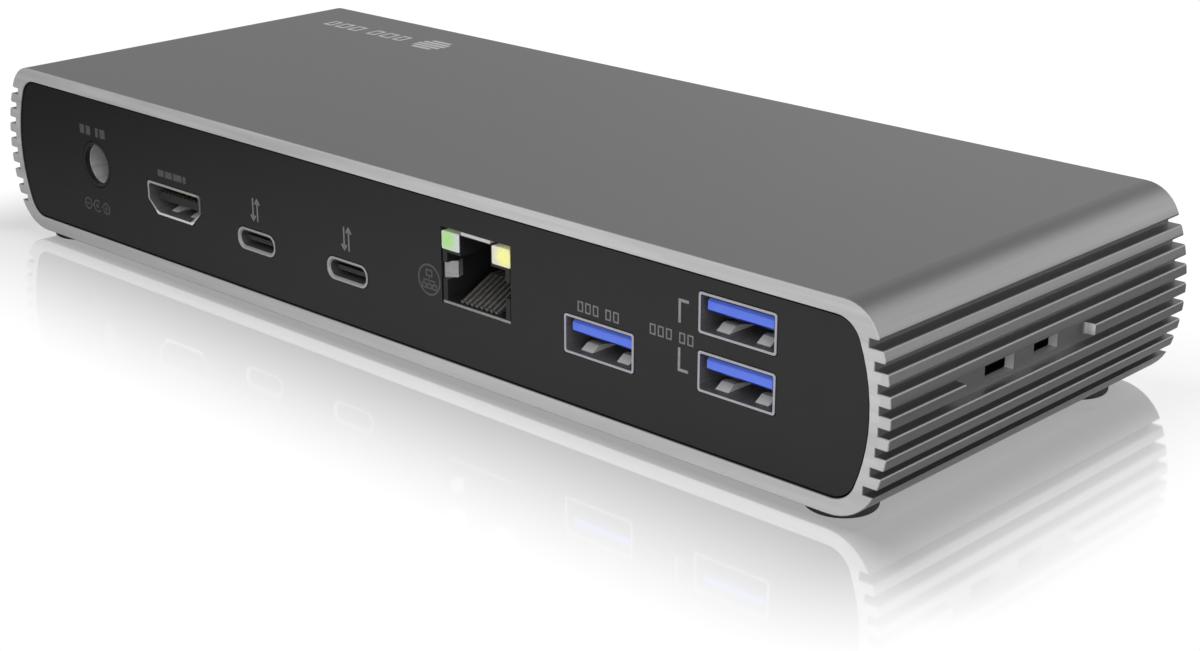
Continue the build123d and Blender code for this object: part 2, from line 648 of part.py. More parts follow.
# ============================================================ 9 USB-A sockets
def usba_box(cx, cz, legs=False):
    """Shell of one USB-A socket with its four plug springs."""
    with BuildPart() as shell:
        with BuildSketch(xz(-FACE_Y)):
            with Locations((cx, cz)):
                RectangleRounded(USBA_W, USBA_H, 0.45)
        extrude(amount=-17.0)
        with BuildSketch(xz(-FACE_Y)):
            with Locations((cx, cz)):
                RectangleRounded(USBA_W - 2 * USBA_T, USBA_H - 2 * USBA_T, 0.25)
        extrude(amount=-16.6, mode=Mode.SUBTRACT)
        for dx in (-3.4, 3.4):
            for s in (-1, 1):
                zw = cz + s * (USBA_H / 2 - USBA_T + 0.05)
                rise = 0.95 if s < 0 else 0.38
                with BuildSketch(Plane(origin=(cx + dx - 1.1, 0, 0),
                                       x_dir=(0, 1, 0), z_dir=(1, 0, 0))):
                    with BuildLine():
                        Polyline((-FACE_Y + 1.1, zw),
                                 (-FACE_Y + 2.6, zw - s * rise),
                                 (-FACE_Y + 3.4, zw - s * rise),
                                 (-FACE_Y + 7.2, zw),
                                 (-FACE_Y + 7.2, zw + s * 0.15),
                                 (-FACE_Y + 1.1, zw + s * 0.15), close=True)
                    make_face()
                extrude(amount=2.2)
        if legs:
            with BuildSketch(xy(PCB_Z)):
                with Locations(*[(cx + sx * (USBA_W / 2 - 0.2), -FACE_Y + d)
                                 for sx in (-1, 1) for d in (6.5, 14.5)]):
                    Rectangle(0.4, 2.2)
            extrude(amount=cz - PCB_Z)
    return shell


def usba_tongue(cx, cz):
    """Tongue in the upper half, on a block that fills the back."""
    with BuildPart() as tongue:
        with BuildSketch(xz(-FACE_Y + 0.7)):
            with Locations((cx, cz + 0.98)):
                Rectangle(11.1, 1.84)
        extrude(amount=-12.5)
        chamfer(tongue.edges().group_by(Axis.Y)[0].filter_by(Axis.X), 0.35)
        with BuildSketch(xz(-FACE_Y + 13.1)):
            with Locations((cx, cz)):
                Rectangle(USBA_W - 2 * USBA_T - 0.2, USBA_H - 2 * USBA_T - 0.2)
        extrude(amount=-3.3)
    return tongue


def usba_contacts(spots):
    """Four long pads under each tongue and five short springs behind them."""
    with BuildPart() as pads:
        for cx, cz in spots:
            with BuildSketch(xz(-FACE_Y + 1.6)):
                with Locations(*[(cx + x, cz - 0.02)
                                 for x in (-3.5, -1.0, 1.0, 3.5)]):
                    Rectangle(1.0, 0.14)
            extrude(amount=-6.0)
            with BuildSketch(xz(-FACE_Y + 9.0)):
                with Locations(*[(cx + x, cz - 0.12)
                                 for x in (-4.2, -2.1, 0, 2.1, 4.2)]):
                    Rectangle(0.6, 0.34)
            extrude(amount=-2.4)
    return pads


save(usba_box(USBA_X, USBA_Z, legs=True), "usb_a_single_shell")
save(usba_tongue(USBA_X, USBA_Z), "usb_a_single_tongue")
save(usba_contacts([(USBA_X, USBA_Z)]), "usb_a_single_contacts")
save(usba_box(DUAL_X, DUAL_ZH), "usb_a_upper_shell")
save(usba_tongue(DUAL_X, DUAL_ZH), "usb_a_upper_tongue")
save(usba_box(DUAL_X, DUAL_ZL), "usb_a_lower_shell")
save(usba_tongue(DUAL_X, DUAL_ZL), "usb_a_lower_tongue")
save(usba_contacts([(DUAL_X, DUAL_ZH), (DUAL_X, DUAL_ZL)]),
     "usb_a_stack_contacts")

with BuildPart() as stack_carrier:
    # moulded carrier that holds the stacked sockets above the board
    with BuildSketch(xy(PCB_Z)):
        with Locations((DUAL_X, -BOSS_Y + 0.4 + 7.6)):
            Rectangle(USBA_W + 1.6, 15.2)
    extrude(amount=DUAL_ZH + USBA_H / 2 + 0.6 - PCB_Z)
    with BuildSketch(xz(-BOSS_Y + 0.2)):
        with Locations((DUAL_X, DUAL_ZH), (DUAL_X, DUAL_ZL)):
            RectangleRounded(USBA_W + 0.1, USBA_H + 0.1, 0.5)
    extrude(amount=-14.2, mode=Mode.SUBTRACT)
save(stack_carrier, "usb_a_stack_carrier")

# ============================================================ 10 audio socket
with BuildPart() as audio:
    with BuildSketch(xy(PCB_Z)):
        with Locations((AUDIO_X, BOSS_Y - 0.3 - 6.0)):
            Rectangle(6.4, 12.0)
    extrude(amount=5.6)
    with BuildSketch(xz(PANEL_Y)):
        with Locations((AUDIO_X, AUDIO_Z)):
            Circle(2.35)
    extrude(amount=PANEL_Y - BOSS_Y + 0.8)
    with BuildSketch(xz(PANEL_Y)):
        with Locations((AUDIO_X, AUDIO_Z)):
            Circle(1.8)
    extrude(amount=14.0, mode=Mode.SUBTRACT)
save(audio, "audio_jack_housing")

with BuildPart() as audio_ring:
    with BuildSketch(xz(FACE_Y - 0.02)):
        with Locations((AUDIO_X, AUDIO_Z)):
            Circle(2.85)
            Circle(2.4, mode=Mode.SUBTRACT)
    extrude(amount=3.2)
save(audio_ring, "audio_jack_ring")

# ============================================================== 11 card slot
with BuildPart() as card_housing:
    with BuildSketch(xy(PCB_Z)):
        with Locations((CARD_X, BOSS_Y - 0.3 - 12.5)):
            Rectangle(28.0, 25.0)
    extrude(amount=3.3)
    with BuildSketch(xz(PANEL_Y - 0.2)):
        with Locations((CARD_X, CARD_Z)):
            RectangleRounded(CARD_W, CARD_H, 0.45)
    extrude(amount=PANEL_Y - BOSS_Y + 0.6)
    with BuildSketch(xz(PANEL_Y - 0.2)):
        with Locations((CARD_X, CARD_Z - 0.02)):
            Rectangle(CARD_W - 0.6, CARD_H - 0.4)
    extrude(amount=26.0, mode=Mode.SUBTRACT)
save(card_housing, "card_slot_housing")

with BuildPart() as card_cover:
    with BuildSketch(xy(PCB_Z + 3.32)):
        with Locations((CARD_X, BOSS_Y - 0.5 - 12.2)):
            Rectangle(28.0, 24.4)
            Rectangle(6.0, 5.0, mode=Mode.SUBTRACT)
    extrude(amount=0.25)
save(card_cover, "card_slot_cover")

with BuildPart() as card_contacts:
    with BuildSketch(xy(PCB_Z + 0.72)):
        with Locations(*[(CARD_X + (i - 4) * 2.5, BOSS_Y - 20.5)
                         for i in range(9)]):
            Rectangle(1.2, 4.6)
    extrude(amount=0.5)
save(card_contacts, "card_slot_contacts")

# ============================================== 12 power button and its switch
with BuildPart() as button:
    with BuildSketch(xz(DEPTH / 2)):
        with Locations((BTN_X, BTN_Z)):
            Circle(BTN_R)
    extrude(amount=DEPTH / 2 - (BOSS_Y - 0.2))
    fillet(button.edges().filter_by(GeomType.CIRCLE).sort_by(Axis.Y)[-1], 0.3)
    with BuildSketch(xz(BOSS_Y - 0.1)):
        with Locations((BTN_X, BTN_Z)):
            Circle(4.7)
    extrude(amount=0.9)
    with BuildSketch(xz(BOSS_Y - 0.9)):
        with Locations((BTN_X, SWITCH_Z)):
            Rectangle(2.6, 2.2)
    extrude(amount=1.2)
save(button, "power_button")

SWITCH_Y = BOSS_Y - 3.7                   # front face of the switch body
with BuildPart() as switch_body:
    with BuildSketch(xy(PCB_Z)):
        with Locations((BTN_X, SWITCH_Y - 1.9)):
            Rectangle(6.4, 3.8)
    extrude(amount=6.6)
    with BuildSketch(xz(SWITCH_Y)):
        with Locations((BTN_X, SWITCH_Z)):
            Circle(1.7)
    extrude(amount=2.4, mode=Mode.SUBTRACT)
save(switch_body, "tact_switch_body")

with BuildPart() as switch_plunger:
    with BuildSketch(xz(BOSS_Y - 2.15)):
        with Locations((BTN_X, SWITCH_Z)):
            Circle(1.55)
    extrude(amount=3.2)
save(switch_plunger, "tact_switch_plunger")

# moulded cup that guides the button; only the plunger passes its back wall
GUIDE_Y0, GUIDE_Y1 = SWITCH_Y + 0.05, BOSS_Y - 0.05
with BuildPart() as button_guide:
    with BuildSketch(xy(PCB_Z)):
        with Locations((BTN_X, (GUIDE_Y0 + GUIDE_Y1) / 2)):
            Rectangle(11.6, GUIDE_Y1 - GUIDE_Y0)
    extrude(amount=BTN_Z + 5.8 - PCB_Z)
    with BuildSketch(xz(GUIDE_Y1)):
        with Locations((BTN_X, BTN_Z)):
            Circle(5.0)
    extrude(amount=GUIDE_Y1 - GUIDE_Y0 - 0.55, mode=Mode.SUBTRACT)
    with BuildSketch(xz(GUIDE_Y1)):
        with Locations((BTN_X, SWITCH_Z)):
            Circle(1.75)
    extrude(amount=GUIDE_Y1 - GUIDE_Y0, mode=Mode.SUBTRACT)
save(button_guide, "button_guide")

# ============================================================ 13 status light
with BuildPart() as light_pipe:
    with BuildSketch(xz(PANEL_Y + 0.05)):
        with Locations((LIGHT_X, LIGHT_Z)):
            Circle(0.95)
    extrude(amount=7.0)
    with BuildSketch(xy(PCB_Z + 1.0)):
        with Locations((LIGHT_X, PANEL_Y - 6.2)):
            Rectangle(1.9, 1.9)
    extrude(amount=LIGHT_Z - PCB_Z - 0.2)
save(light_pipe, "status_light_pipe")

with BuildPart() as status_led:
    with BuildSketch(xy(PCB_Z)):
        with Locations((LIGHT_X, PANEL_Y - 6.2)):
            Rectangle(2.0, 1.2)
    extrude(amount=0.8)
save(status_led, "status_led")

# ========================================================== 14 board devices
CTRL = (-12.0, 9.0)
HUB = (-30.0, 9.0)
with BuildPart() as controller:
    with BuildSketch(xy(PCB_Z)):
        with Locations(CTRL):
            Rectangle(12.0, 12.0)
    extrude(amount=1.2)
save(controller, "controller_chip")

with BuildPart() as hub:
    with BuildSketch(xy(PCB_Z)):
        with Locations(HUB):
            Rectangle(9.0, 9.0)
    extrude(amount=0.9)
save(hub, "usb_hub_chip")

with BuildPart() as phy:
    with BuildSketch(xy(PCB_Z)):
        with Locations((24.0, -2.0)):
            Rectangle(7.0, 7.0)
    extrude(amount=0.9)
save(phy, "ethernet_chip")

with BuildPart() as inductors:
    with BuildSketch(xy(PCB_Z)):
        with Locations((-80, -12), (-70, -12), (-60, -12), (-80, -2)):
            RectangleRounded(7.2, 7.2, 0.8)
    extrude(amount=4.2)
save(inductors, "power_inductors")

with BuildPart() as capacitors:
    with BuildSketch(xy(PCB_Z)):
        with Locations((-70, -2), (-61, -2), (-80, 8), (60, 0), (70, 0), (80, 0)):
            Circle(3.15)
    extrude(amount=7.7)
save(capacitors, "capacitors")

# ========================================================== 15 heat spreader
PLATE_Z = ZB + HEIGHT - WALL_TOP - 0.8 - 2.0
with BuildPart() as spreader:
    with BuildSketch(xy(PLATE_Z)):
        with Locations((-12.5, 8.5)):
            RectangleRounded(65.0, 31.0, 2.0)
    extrude(amount=2.0)
    with BuildSketch(xy(PCB_Z + 2.0)):
        with Locations(CTRL):
            Rectangle(12.0, 12.0)
    extrude(amount=PLATE_Z - PCB_Z - 1.5)
    with BuildSketch(xy(PCB_Z + 0.02)):
        with Locations(*SPREADER_LEGS):
            Circle(3.2)
    extrude(amount=PLATE_Z - PCB_Z + 0.5)
    with BuildSketch(xy(PCB_Z)):
        with Locations(*SPREADER_LEGS):
            Circle(1.25)
    extrude(amount=9.0, mode=Mode.SUBTRACT)
save(spreader, "heat_spreader")

with BuildPart() as pad_low:
    with BuildSketch(xy(PCB_Z + 1.2)):
        with Locations(CTRL):
            Rectangle(11.5, 11.5)
    extrude(amount=0.8)
save(pad_low, "thermal_pad_controller")

with BuildPart() as pad_top:
    with BuildSketch(xy(PLATE_Z + 2.0)):
        with Locations((-12.5, 8.5)):
            Rectangle(60.0, 27.0)
    extrude(amount=0.78)
save(pad_top, "thermal_pad_case")

with BuildPart() as spreader_screws:
    for lx, ly in SPREADER_LEGS:
        with BuildSketch(xy(PCB_Z - PCB_T - 1.52)):
            with Locations((lx, ly)):
                Circle(2.3)
        extrude(amount=1.5)
        with BuildSketch(xy(PCB_Z - PCB_T - 0.1)):
            with Locations((lx, ly)):
                Circle(1.2)
        extrude(amount=8.0)
        with BuildSketch(xy(PCB_Z - PCB_T - 1.52)):
            with Locations((lx, ly)):
                Rectangle(2.6, 0.6)
                Rectangle(0.6, 2.6)
        extrude(amount=0.8, mode=Mode.SUBTRACT)
save(spreader_screws, "heat_spreader_screws")

print("pieces", len(os.listdir("parts")))
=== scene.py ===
import math

import bmesh
import bpy
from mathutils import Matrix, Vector


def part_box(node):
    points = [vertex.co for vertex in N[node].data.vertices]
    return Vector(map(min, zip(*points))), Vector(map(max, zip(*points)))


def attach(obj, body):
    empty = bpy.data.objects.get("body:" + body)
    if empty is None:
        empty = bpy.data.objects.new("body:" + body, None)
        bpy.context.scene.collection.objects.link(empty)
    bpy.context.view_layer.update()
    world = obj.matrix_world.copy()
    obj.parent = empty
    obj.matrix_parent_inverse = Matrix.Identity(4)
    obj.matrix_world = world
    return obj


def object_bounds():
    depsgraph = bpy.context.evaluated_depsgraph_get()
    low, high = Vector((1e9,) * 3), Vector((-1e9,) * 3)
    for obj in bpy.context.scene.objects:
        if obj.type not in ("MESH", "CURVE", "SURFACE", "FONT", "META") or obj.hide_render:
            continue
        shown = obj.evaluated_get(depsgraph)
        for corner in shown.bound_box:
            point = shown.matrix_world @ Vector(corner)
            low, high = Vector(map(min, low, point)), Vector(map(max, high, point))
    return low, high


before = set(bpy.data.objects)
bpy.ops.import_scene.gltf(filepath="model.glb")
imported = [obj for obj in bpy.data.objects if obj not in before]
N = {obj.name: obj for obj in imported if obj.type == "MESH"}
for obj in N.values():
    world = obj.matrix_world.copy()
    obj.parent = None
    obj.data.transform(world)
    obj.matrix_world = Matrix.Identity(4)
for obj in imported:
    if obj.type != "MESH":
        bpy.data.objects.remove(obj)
cad_lo, cad_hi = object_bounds()
CAD_BOX = [list(cad_lo), list(cad_hi)]
MM = 0.001

scene = bpy.context.scene
scene.view_settings.view_transform = "Standard"
scene.view_settings.look = "None"


# ------------------------------------------------------------------ materials
class Mat:
    """A Principled material with short helpers for its node tree."""

    def __init__(self, name):
        self.m = bpy.data.materials.new(name)
        self.m.use_nodes = True
        self.nt = self.m.node_tree
        self.b = self.nt.nodes["Principled BSDF"]
        self.co = self.nt.nodes.new("ShaderNodeTexCoord").outputs["Object"]
        self._sep = None

    def node(self, kind, **props):
        n = self.nt.nodes.new(kind)
        for k, v in props.items():
            setattr(n, k, v)
        return n

    def link(self, a, b):
        self.nt.links.new(a, b)

    def put(self, socket, value):
        if isinstance(value, bpy.types.NodeSocket):
            self.link(value, socket)
        else:
            socket.default_value = value

    def axis(self, k):
        if self._sep is None:
            self._sep = self.node("ShaderNodeSeparateXYZ")
            self.link(self.co, self._sep.inputs[0])
        return self._sep.outputs[k]

    def scaled(self, stretch, shift=(0, 0, 0)):
        n = self.node("ShaderNodeMapping")
        self.link(self.co, n.inputs["Vector"])
        n.inputs["Scale"].default_value = stretch
        n.inputs["Location"].default_value = shift
        return n.outputs[0]

    def noise(self, scale, detail=3.0, rough=0.55, stretch=None, shift=(0, 0, 0), distort=0.0):
        n = self.node("ShaderNodeTexNoise")
        self.link(self.scaled(stretch or (1, 1, 1), shift), n.inputs["Vector"])
        n.inputs["Scale"].default_value = scale
        n.inputs["Detail"].default_value = detail
        n.inputs["Roughness"].default_value = rough
        n.inputs["Distortion"].default_value = distort
        return n.outputs["Fac"]

    def voronoi(self, scale, feature="F1", stretch=None):
        n = self.node("ShaderNodeTexVoronoi", feature=feature)
        self.link(self.scaled(stretch or (1, 1, 1)), n.inputs["Vector"])
        n.inputs["Scale"].default_value = scale
        return n.outputs["Distance"]

    def math(self, op, a, b=None, c=None, clamp=False):
        n = self.node("ShaderNodeMath", operation=op, use_clamp=clamp)
        for i, v in enumerate((a, b, c)):
            if v is not None:
                self.put(n.inputs[i], v)
        return n.outputs[0]

    def span(self, value, a, b, lo=0.0, hi=1.0, smooth=False):
        n = self.node("ShaderNodeMapRange", interpolation_type="SMOOTHSTEP" if smooth else "LINEAR")
        self.put(n.inputs["Value"], value)
        n.inputs["From Min"].default_value = a
        n.inputs["From Max"].default_value = b
        n.inputs["To Min"].default_value = lo
        n.inputs["To Max"].default_value = hi
        return n.outputs["Result"]

    def mix(self, fac, a, b, blend="MIX"):
        n = self.node("ShaderNodeMix", data_type="RGBA", blend_type=blend)
        self.put(n.inputs[0], fac)
        for sock, v in ((n.inputs[6], a), (n.inputs[7], b)):
            if isinstance(v, bpy.types.NodeSocket):
                self.link(v, sock)
            else:
                sock.default_value = (*v[:3], 1.0)
        return n.outputs[2]

    def mixf(self, fac, a, b):
        n = self.node("ShaderNodeMix", data_type="FLOAT")
        self.put(n.inputs[0], fac)
        self.put(n.inputs[2], a)
        self.put(n.inputs[3], b)
        return n.outputs[0]

    def bump(self, height, distance, strength=1.0, normal=None):
        n = self.node("ShaderNodeBump")
        n.inputs["Strength"].default_value = strength
        n.inputs["Distance"].default_value = distance
        self.link(height, n.inputs["Height"])
        if normal is not None:
            self.link(normal, n.inputs["Normal"])
        return n.outputs[0]

    def edges(self, radius, lo=0.02, hi=0.25):
        """1 on outer and inner edges, 0 on flats."""
        bev = self.node("ShaderNodeBevel", samples=6)
        bev.inputs["Radius"].default_value = radius
        geo = self.node("ShaderNodeNewGeometry")
        dot = self.node("ShaderNodeVectorMath", operation="DOT_PRODUCT")
        self.link(bev.outputs[0], dot.inputs[0])
        self.link(geo.outputs["Normal"], dot.inputs[1])
        return self.span(self.math("SUBTRACT", 1.0, dot.outputs["Value"]), lo, hi)

    def normal_axis(self, k):
        geo = self.node("ShaderNodeNewGeometry")
        sep = self.node("ShaderNodeSeparateXYZ")
        self.link(geo.outputs["True Normal"], sep.inputs[0])
        return sep.outputs[k]

    def set(self, **values):
        names = {
            "color": "Base Color", "rough": "Roughness", "metal": "Metallic", "normal": "Normal",
            "spec": "Specular IOR Level", "ior": "IOR", "coat": "Coat Weight",
            "coat_rough": "Coat Roughness", "emit": "Emission Color", "power": "Emission Strength",
            "trans": "Transmission Weight", "sss": "Subsurface Weight", "aniso": "Anisotropic",
        }
        for k, v in values.items():
            s = self.b.inputs[names[k]]
            if isinstance(v, (tuple, list)):
                v = (*v[:3], 1.0)
            self.put(s, v)
        return self


def give(mat, *names):
    for n in names:
        o = N[n] if isinstance(n, str) else n
        o.data.materials.clear()
        o.data.materials.append(mat.m)


def bead_blasted():
    """Grey anodised extrusion: fine blasted grain, die lines on the sides, bright cut ends."""
    k = Mat("anodised_shell")
    grain = k.noise(5200, 2.0, 0.6)
    fine = k.noise(14000, 1.0, 0.5)
    cloud = k.noise(38, 3.0, 0.5)
    die = k.noise(900, 2.0, 0.6, stretch=(1, 0.012, 1))
    side = k.span(k.math("ABSOLUTE", k.axis("X")), 0.0925, 0.0945)
    flat_z = k.math("ABSOLUTE", k.normal_axis("Z"))
    base = k.mix(cloud, (0.168, 0.168, 0.170), (0.182, 0.182, 0.183))
    base = k.mix(k.span(grain, 0.3, 0.7), base, (0.205, 0.205, 0.206))
    base = k.mix(k.math("MULTIPLY", side, k.span(die, 0.35, 0.65, 0.0, 0.30)), base, (0.13, 0.13, 0.132))
    worn = k.math("MULTIPLY", k.edges(0.00016), k.span(k.noise(700, 3.0, 0.6), 0.35, 0.6, 0.2, 0.7))
    base = k.mix(worn, base, (0.42, 0.42, 0.42))
    # bare, faced ends with very fine cutter lines
    end = k.math("MULTIPLY",
                 k.span(k.math("ABSOLUTE", k.axis("Y")), 0.03590, 0.03596),
                 k.span(k.math("ABSOLUTE", k.normal_axis("Y")), 0.5, 0.8))
    lines = k.noise(620, 2.0, 0.6, stretch=(0.05, 1, 1), shift=(0.2, 0, 0.1))
    streak = k.noise(300, 3.0, 0.6, stretch=(0.035, 1, 1), shift=(0.1, 0, 0.4))
    bare = k.mix(k.span(lines, 0.35, 0.65), (0.52, 0.52, 0.515), (0.61, 0.61, 0.605))
    bare = k.mix(k.span(streak, 0.42, 0.68, 0.0, 0.65), bare, (0.43, 0.43, 0.43))
    # a little duller along the lower edge
    bare = k.mix(k.span(k.axis("Z"), 0.0038, 0.0064, 0.38, 0.0), bare, (0.42, 0.42, 0.42))
    # cut ends of the fins; ends of the side pocket, where the cutter left bare metal, with painted shade deep and
    # low in the pocket rising to a painted highlight at its outer top edge
    milled = k.math("MULTIPLY", k.span(k.math("ABSOLUTE", k.axis("X")), 0.0957, 0.0959),
                    k.span(k.math("ABSOLUTE", k.normal_axis("Y")), 0.6, 0.8))
    inner = k.span(k.math("ABSOLUTE", k.axis("Y")), 0.0350, 0.0355, 1.0, 0.0)
    pocket_shade_ramp = k.math("MULTIPLY", k.span(k.math("ABSOLUTE", k.axis("X")), 0.0957, 0.0973, 0.35, 1.0),
                  k.span(k.axis("Z"), 0.0146, 0.0160, 0.45, 1.0))
    bare = k.mix(milled, bare, k.mix(inner, (0.54, 0.54, 0.54),
                                     k.mix(pocket_shade_ramp, (0.10, 0.10, 0.10), (0.86, 0.86, 0.86))))
    # walls of the two lock slots, punched through after the finish
    slot_lo, slot_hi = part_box("lock_slot_cup")
    punched = k.math("MULTIPLY",
                     k.span(k.axis("X"), slot_lo[0], slot_lo[0] + 0.0001),
                     k.span(k.axis("X"), 0.09555, 0.09562, 1.0, 0.0))
    punched = k.math("MULTIPLY", punched, k.math("MULTIPLY",
                     k.span(k.axis("Y"), slot_lo[1], slot_lo[1] + 0.0001),
                     k.span(k.axis("Y"), slot_hi[1] - 0.0001, slot_hi[1], 1.0, 0.0)))
    punched = k.math("MULTIPLY", punched, k.math("MULTIPLY",
                     k.span(k.axis("Z"), 0.0140, 0.01405), k.span(k.axis("Z"), 0.01735, 0.0174, 1.0, 0.0)))
    end = k.math("MAXIMUM", end, milled)
    color = k.mix(end, base, bare)
    # painted light and shade: slot walls facing the ends painted bright, the other walls painted dark
    lit = k.span(k.math("ABSOLUTE", k.normal_axis("Y")), 0.4, 0.8)
    color = k.mix(punched, color, k.mix(lit, (0.27, 0.27, 0.27), (0.62, 0.62, 0.62)))
    rough = k.mixf(end, k.span(grain, 0.25, 0.75, 0.34, 0.46), k.span(lines, 0.3, 0.7, 0.40, 0.52))
    height = k.math("ADD", k.math("MULTIPLY", grain, 0.7), k.math("MULTIPLY", fine, 0.3))
    height = k.mixf(end, height, k.math("MULTIPLY", lines, 0.35))
    height = k.mixf(k.math("MULTIPLY", side, 0.6), height, die)
    k.set(color=color, rough=rough, metal=k.mixf(k.math("MAXIMUM", end, punched), 0.92, 0.15),
          normal=k.bump(height, 0.000012, 0.55))
    return k


def satin_black(name, tone=0.020, rough=(0.42, 0.52), grain_scale=5200, depth=0.000010, edge=0.00012):
    """Moulded or painted satin black plastic with a very fine grain."""
    k = Mat(name)
    grain = k.voronoi(grain_scale, "SMOOTH_F1")
    soft = k.noise(120, 3.0)
    c = k.mix(soft, (tone * 0.85,) * 3, (tone * 1.15, tone * 1.15, tone * 1.2))
    c = k.mix(k.math("MULTIPLY", k.edges(edge), 0.55), c, (tone * 4.5,) * 3)
    k.set(color=c, rough=k.span(k.noise(900, 3.0), 0.3, 0.7, *rough), spec=0.35,
          normal=k.bump(grain, depth, 0.5))
    return k


def plated(name, dark=(0.50, 0.50, 0.49), light=(0.66, 0.66, 0.645), rough=(0.24, 0.38), metal=1.0,
           stretch=(1, 0.08, 1)):
    """Plated, stamped sheet with roll lines, faint stains and brighter edges."""
    k = Mat(name)
    roll = k.noise(2600, 3.0, 0.6, stretch=stretch)
    stain = k.noise(420, 4.0, 0.6)
    c = k.mix(k.span(roll, 0.3, 0.7), dark, light)
    c = k.mix(k.span(stain, 0.55, 0.8, 0.0, 0.45), c, (dark[0] * 0.6, dark[1] * 0.58, dark[2] * 0.55))
    c = k.mix(k.math("MULTIPLY", k.edges(0.00008), 0.7), c, tuple(min(1.0, v * 1.3) for v in light))
    k.set(color=c, rough=k.span(stain, 0.25, 0.75, *rough), metal=metal,
          normal=k.bump(roll, 0.000006, 0.5))
    return k


def socket_shell(name, cx, cz, rim, wall, spring=(0.62, 0.61, 0.61), half=(5.5, 2.45), lip=None):
    """Plated socket: bright stamped rim, inside walls painted darker as shade, brighter spring tabs.
    cx, cz is the centre of its mouth; half is the half size of the space that holds springs, mm."""
    k = Mat(name)
    roll = k.noise(2600, 3.0, 0.6, stretch=(1, 0.08, 1))
    stain = k.noise(520, 4.0, 0.6)
    ux = k.math("ABSOLUTE", k.math("SUBTRACT", k.axis("X"), cx))
    uz = k.math("ABSOLUTE", k.math("SUBTRACT", k.axis("Z"), cz))
    ny = k.math("ABSOLUTE", k.normal_axis("Y"))
    front = k.math("MULTIPLY", k.span(ny, 0.6, 0.8), k.span(k.math("ABSOLUTE", k.axis("Y")), 0.0352, 0.0355))
    tab = k.math("MULTIPLY", k.span(ux, half[0] * MM, (half[0] + 0.1) * MM, 1.0, 0.0),
                 k.span(uz, (half[1] - 0.05) * MM, half[1] * MM, 1.0, 0.0))
    tab = k.math("MULTIPLY", tab, k.span(k.math("ABSOLUTE", k.axis("Y")), 0.0290, 0.0292))
    # inside walls painted darker than the rim: painted shade
    c = k.mix(k.span(roll, 0.3, 0.7), tuple(v * 0.85 for v in wall), tuple(v * 1.15 for v in wall))
    c = k.mix(k.span(stain, 0.5, 0.8, 0.0, 0.5), c, tuple(v * 0.6 for v in wall))
    c = k.mix(tab, c, spring)
    edge = k.mix(k.span(roll, 0.3, 0.7), tuple(v * 0.92 for v in rim), rim)
    if lip:
        # front face lighter along the lower lip, darker at the far side
        edge = k.mix(k.span(k.axis("Z"), lip, lip + 0.1 * MM, 1.0, 0.0), edge, (0.80, 0.80, 0.79))
        edge = k.mix(k.span(k.math("SUBTRACT", k.axis("X"), cx), 6.2 * MM, 7.2 * MM), edge, (0.11, 0.11, 0.11))
    c = k.mix(front, c, edge)
    k.set(color=c, rough=k.span(stain, 0.25, 0.75, 0.38, 0.56),
          metal=k.mixf(k.math("MAXIMUM", tab, front), 0.70, 0.30), normal=k.bump(roll, 0.000006, 0.5))
    return k


def shield(name, top):
    """Tinned shield of the network socket, whiter on the strip between its two lights."""
    k = Mat(name)
    roll = k.noise(2600, 3.0, 0.6, stretch=(1, 0.08, 1))
    stain = k.noise(420, 4.0, 0.6)
    c = k.mix(k.span(roll, 0.3, 0.7), (0.27, 0.27, 0.265), (0.38, 0.38, 0.37))
    c = k.mix(k.span(stain, 0.55, 0.8, 0.0, 0.4), c, (0.20, 0.20, 0.19))
    c = k.mix(k.span(k.axis("Z"), top - 0.0012, top - 0.0011), c, (0.72, 0.72, 0.73))
    c = k.mix(k.math("MULTIPLY", k.edges(0.00008), 0.5), c, (0.60, 0.60, 0.59))
    k.set(color=c, rough=k.span(stain, 0.25, 0.75, 0.34, 0.5), metal=0.55, normal=k.bump(roll, 0.000006, 0.5))
    return k


def rubber(name, tone=0.022):
    k = Mat(name)
    g = k.noise(2600, 4.0, 0.65)
    dust = k.noise(260, 4.0, 0.6)
    c = k.mix(k.span(g, 0.3, 0.7), (tone * 0.8,) * 3, (tone * 1.25,) * 3)
    c = k.mix(k.span(dust, 0.52, 0.8, 0.0, 0.30), c, (0.10, 0.10, 0.095))
    k.set(color=c, rough=k.span(g, 0.3, 0.7, 0.72, 0.9), spec=0.3, normal=k.bump(g, 0.00003, 0.6))
    return k


def glossy_plastic(name, a, b, rough=(0.26, 0.36), emit=None, power=0.0, painted_underside_shade=None):
    """Moulded plastic with slight flow marks and paler worn edges; an optional darker colour on downward faces is
    painted shade.
    """
    k = Mat(name)
    flow = k.noise(240, 3.0, 0.5, stretch=(1, 0.3, 1), distort=0.6)
    fine = k.noise(3800, 2.0)
    c = k.mix(flow, a, b)
    c = k.mix(k.math("MULTIPLY", k.edges(0.0001), 0.4), c, tuple(min(1.0, v * 1.3 + 0.06) for v in b))
    k.set(color=c, rough=k.span(fine, 0.3, 0.7, *rough), spec=0.5, normal=k.bump(fine, 0.000006, 0.35))
    if painted_underside_shade:
        # painted shade: downward faces darkened
        c = k.mix(k.span(k.normal_axis("Z"), -0.6, -0.3, 1.0, 0.0), c, painted_underside_shade)
        k.set(color=c)
    if emit:
        k.set(emit=k.mix(flow, emit, tuple(v * 0.85 for v in emit)), power=power)
    return k


